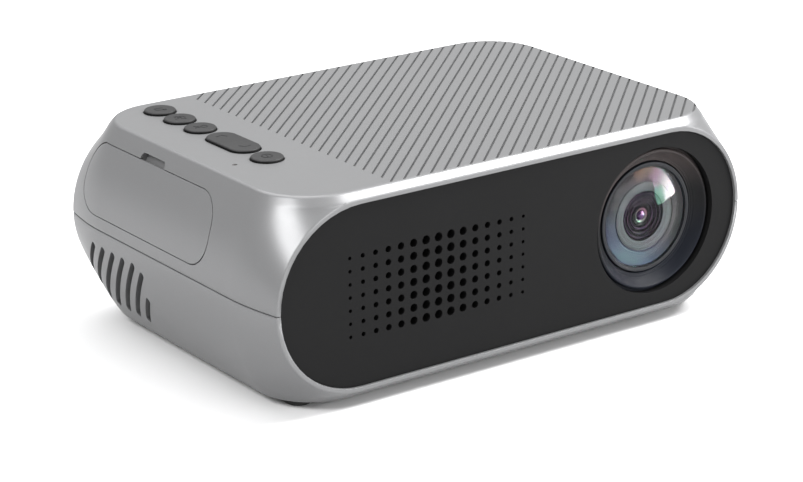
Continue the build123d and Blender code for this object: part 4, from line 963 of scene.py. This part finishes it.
ring_profile = [(15.15, -39.44), (15.22, -39.52), (15.36, -39.55), (15.52, -39.53), (15.68, -39.42), (15.78, -39.26), (15.8, -39.1),
                (15.8, -38.25), (17.3, -38.25), (17.3, -37.25), (15.8, -37.25), (15.8, -34.0), (14.9, -34.0), (14.9, -15.4),
                (13.67, -15.4), (13.67, -35.4), (12.75, -35.4), (12.68, -36.9), (12.8, -37.05), (13.05, -37.12)]
ring_profile += ridged(13.1, -37.2, 13.5, -37.42, 2, 0.03)
ring_profile += [(13.62, -37.62), (13.78, -37.74)]
ring_profile += [(13.78 + (15.1 - 13.78) * t, -37.74 - 1.66 * (0.75 * t + 0.25 * t * t)) for t in np.linspace(0.08, 0.97, 12)]
ring = lathe(ring_profile, "y", AX, 160, "ring")


def helix_slot(j):
    # slanted slot outline wrapped round the axis
    path = []
    for side in (1, -1):
        rng = np.linspace(-1.13, 1.13, 19) if side > 0 else np.linspace(1.13, -1.13, 19)
        for f in rng:
            path.append((90 + 120 * j - 30 * f, -25 + 2 * f, side))
    v, f = [], []
    tang = math.atan2(2.0, math.radians(30) * 14.3)
    outline = []
    for a, y, side in path:
        outline.append((math.radians(a) * 14.3 + side * math.sin(tang) * 1.0, y + side * math.cos(tang) * 1.0))
    n = len(outline)
    for r in (12.9, 15.3):
        for s_, y in outline:
            a = s_ / 14.3
            v.append((LENS_X + r * math.cos(a), y, r * math.sin(a)))
    mid = n // 2
    quads = [(i, i + 1, n - 2 - i, n - 1 - i) for i in range(mid - 1)]
    f += quads + [tuple(k + n for k in q) for q in quads]
    f += [(i, (i + 1) % n, n + (i + 1) % n, n + i) for i in range(n)]
    return clean(obj_from("slot", v, f), 1e-5)


for j in range(3):
    cut(ring, helix_slot(j))
wear(ring, M["ring_black"])
finish_piece(ring, "focus_turn_ring", "focus_ring_turned", smooth=28)
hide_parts("focus_ring")

barrel = lathe([(12.4, -37.2), (12.4, -15.2), (9.2, -15.2), (9.2, -16.4), (10.0, -16.4), (10.0, -20.4), (8.6, -20.4), (8.6, -21.4),
                (9.4, -21.4), (9.4, -25.6), (7.2, -25.6), (7.2, -26.6), (5.5, -27.6), (5.5, -28.2), (8.2, -28.2), (8.2, -29.6),
                (10.6, -31.2), (10.6, -33.0), (11.75, -33.0), (11.75, -37.28), (11.85, -37.34), (12.3, -37.32)], "y", AX, 144, "barrel")
for j in range(3):
    a = math.radians(90 + 120 * j)
    pin = prism(circle(0, 0, 0.8, 32), "z", 10.5, 13.0)
    pin.data.transform(Matrix.Translation((LENS_X, -25.0, 0)) @ Matrix.Rotation(math.pi / 2 - a, 4, "Y"))
    cut(barrel, pin)
wear(barrel, BARREL)
finish_piece(barrel, "lens_group", "barrel_turned", smooth=28)
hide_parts("lens_barrel")

bezel_front = [(11.70, -36.72), (11.62, -36.86), (11.45, -36.86), (11.3, -36.70), (11.25, -36.58)]
bezel_front += ridged(11.05, -36.60, 8.25, -36.32, 8, 0.02)
bezel_front += [(8.1, -36.30), (8.02, -36.14), (7.72, -36.12), (7.62, -36.26), (7.5, -36.28), (5.72, -36.16), (5.6, -36.14), (5.5, -36.02), (5.48, -35.78)]
for r, y in ((5.1, -35.76), (5.02, -35.9), (4.82, -35.9), (4.76, -35.66), (4.2, -35.62), (4.12, -35.78), (3.95, -35.78), (3.9, -35.5),
             (3.2, -35.46), (3.12, -35.64), (2.9, -35.64), (2.84, -35.4), (2.35, -35.38)):
    bezel_front.append((r, y))
bezel = lathe(bezel_front + [(2.35, -34.7), (11.70, -34.7)], "y", AX, 144, "bezel")
me = bezel.data
me.materials.clear()
for mt in (BARREL, INNER_GREY, BAFFLE, CONE, PURPLE):
    me.materials.append(mt)
for p in me.polygons:
    r = math.hypot(p.center.x - LENS_X, p.center.z)
    if r > 11.2:
        p.material_index = 0
    elif r > 7.62:
        p.material_index = 3
    elif r > 5.55 and p.center.y < -36.0:
        p.material_index = 1
    else:
        p.material_index = 4 if any(lo <= r <= hi for lo, hi in ((4.82, 5.06), (3.93, 4.14), (2.88, 3.14))) else 2
finish_piece(bezel, "lens_group", "lens_bezel_rings", smooth=24)

keeper = lathe([(11.74, -37.30), (11.74, -36.98), (11.72, -36.96), (11.5, -37.02), (11.42, -37.16), (11.5, -37.30)], "y", AX, 144, "keeper")
wear(keeper, BARREL)
finish_piece(keeper, "lens_group", "retaining_ring_turned", smooth=28)
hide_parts("lens_retaining_ring")


def cap_arc(y0, r1, y1, n):
    # points from the axis out to (r1, y1) on a sphere about the axis
    sag = y1 - y0
    R = (r1 * r1 + sag * sag) / (2 * abs(sag))
    sgn = 1 if sag > 0 else -1
    return [(r1 * i / n, y0 + sgn * (R - math.sqrt(R * R - (r1 * i / n) ** 2))) for i in range(n + 1)]


dome_out = cap_arc(-40.30, 11.36, -36.98, 48)
dome_in = cap_arc(-39.30, 11.2, -36.9, 36)[::-1]
dome = lathe(dome_out + [(11.40, -36.93)] + dome_in, "y", AX, 160, "dome")
wear(dome, GLASS_A)
dome.data.materials.append(GLASS_B)
for p in dome.data.polygons:
    if p.normal.y > 0:
        p.material_index = 1
finish_piece(dome, "lens_group", "front_glass_dome", smooth=40)
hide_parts("front_lens")

pupil = lathe([(1.02 * math.sin(math.radians(t)), -35.25 - 0.85 * math.cos(math.radians(t))) for t in range(0, 91, 6)] + [(1.02, -34.8), (0, -34.8)], "y", AX, 72, "pupil")
wear(pupil, PUPIL)
finish_piece(pupil, "lens_group", "pupil_glass", smooth=40)

iris = lathe([(1.06, -35.2), (1.10, -35.3), (1.35, -35.46), (1.62, -35.52), (1.68, -35.40), (1.95, -35.46), (2.25, -35.56), (2.33, -35.46), (2.33, -34.8), (1.06, -34.8)], "y", AX, 96, "iris")
wear(iris, PUPIL_RING)
iris.data.materials.append(BAFFLE)
for p in iris.data.polygons:
    if math.hypot(p.center.x - LENS_X, p.center.z) > 1.66:
        p.material_index = 1
finish_piece(iris, "lens_group", "pupil_ring", smooth=40)

# ================================================================== stage, light and camera


def area(name, loc, target, size, energy, colour=(1, 1, 1), size_y=None, shape="RECTANGLE"):
    d = bpy.data.lights.new(name, "AREA")
    d.shape = shape
    d.size = size
    d.size_y = size_y or size
    d.energy = energy
    d.color = colour
    o = bpy.data.objects.new(name, d)
    scene.collection.objects.link(o)
    o.location = loc
    o.rotation_euler = (Vector(target) - Vector(loc)).to_track_quat("-Z", "Y").to_euler()
    return o


ground = obj_from("floor", [(-40, -40, 0), (40, -40, 0), (40, 40, 0), (-40, 40, 0)], [(0, 1, 2, 3)])
tf = Mat("pale_floor").set(rough=0.6, spec=0.2)
tf.colour(tf.mix(tf.noise(3, 2, 0.5), (0.585, 0.585, 0.588), (0.600, 0.600, 0.602)))
wear(ground, tf.m)

world = bpy.data.worlds.new("studio")
scene.world = world
world.use_nodes = True
bg = world.node_tree.nodes["Background"]
bg.inputs[0].default_value = (1, 1, 1, 1)
bg.inputs[1].default_value = 0.51

area("overhead_rear", (0.0, 0.50, 1.05), (0.0, 0, 0), 1.0, 12.8)
area("overhead_right", (0.72, -0.22, 0.86), (0, 0, 0.03), 0.5, 23.0)
area("left_high", (-0.792, -0.221, 0.903), (-0.056, -0.037, 0.04), 0.28, 7.0, size_y=0.3)
area("left_low", (-0.976, -0.037, 0.730), (-0.056, -0.037, 0.04), 0.24, 7.0, size_y=0.3)
area("window_card", (0.80, -0.47, 0.22), (0.037, -0.04, 0.026), 0.46, 3.5, size_y=0.32)
area("front_low", (0.10, -0.95, 0.10), (0.0, -0.04, 0.0), 1.3, 3.0, size_y=0.16)
area("front_fill", (0.28, -0.90, 0.40), (0.02, -0.06, 0.0), 1.0, 6.0, size_y=0.2)

# small coloured cards seen only in the front glass and the pupil behind it
glass_only = bpy.data.collections.new("front_glass_receivers")
for piece in (dome, pupil):
    glass_only.objects.link(piece)
LENS_P = (0.041, -0.039, 0.029)
for nm, loc, w, h_, energy, colour in (
        ("glass_card", (0.229, -0.108, 0.042), 0.098, 0.064, 1.75, (1.0, 0.93, 0.99)),
        ("glass_green", (0.196, -0.165, 0.036), 0.063, 0.058, 0.34, (0.36, 1.0, 0.66)),
        ("glass_pink", (0.248, -0.159, 0.112), 0.150, 0.060, 0.9, (1.0, 0.58, 0.84)),
        ("glass_amber", (0.236, -0.257, 0.220), 0.220, 0.080, 1.7, (1.0, 0.74, 0.44))):
    card = area(nm, loc, LENS_P, w, energy, colour, size_y=h_)
    card.visible_camera = False
    card.light_linking.receiver_collection = glass_only

cam_d = bpy.data.cameras.new("camera")
cam = bpy.data.objects.new("camera", cam_d)
scene.collection.objects.link(cam)
scene.camera = cam
cam_d.sensor_fit = "HORIZONTAL"
cam_d.sensor_width = 36.0
cam_d.lens = 116.09
cam_d.clip_start = 0.01
cam_d.clip_end = 100
az, el, roll = math.radians(35.703), math.radians(-19.189), math.radians(-0.346)
fwd = Vector((math.cos(el) * math.sin(az), math.cos(el) * math.cos(az), math.sin(el)))
right = fwd.cross(Vector((0, 0, 1))).normalized()
up = right.cross(fwd)
r2 = right * math.cos(roll) + up * math.sin(roll)
u2 = up * math.cos(roll) - right * math.sin(roll)
rot = Matrix((r2, u2, -fwd)).transposed().to_4x4()
cam.matrix_world = Matrix.Translation(Vector((-0.31838, -0.44089, 0.20491))) @ rot

scene.view_settings.view_transform = "Standard"
scene.view_settings.look = "None"
scene.view_settings.exposure = 0.0
scene.view_settings.gamma = 1.0
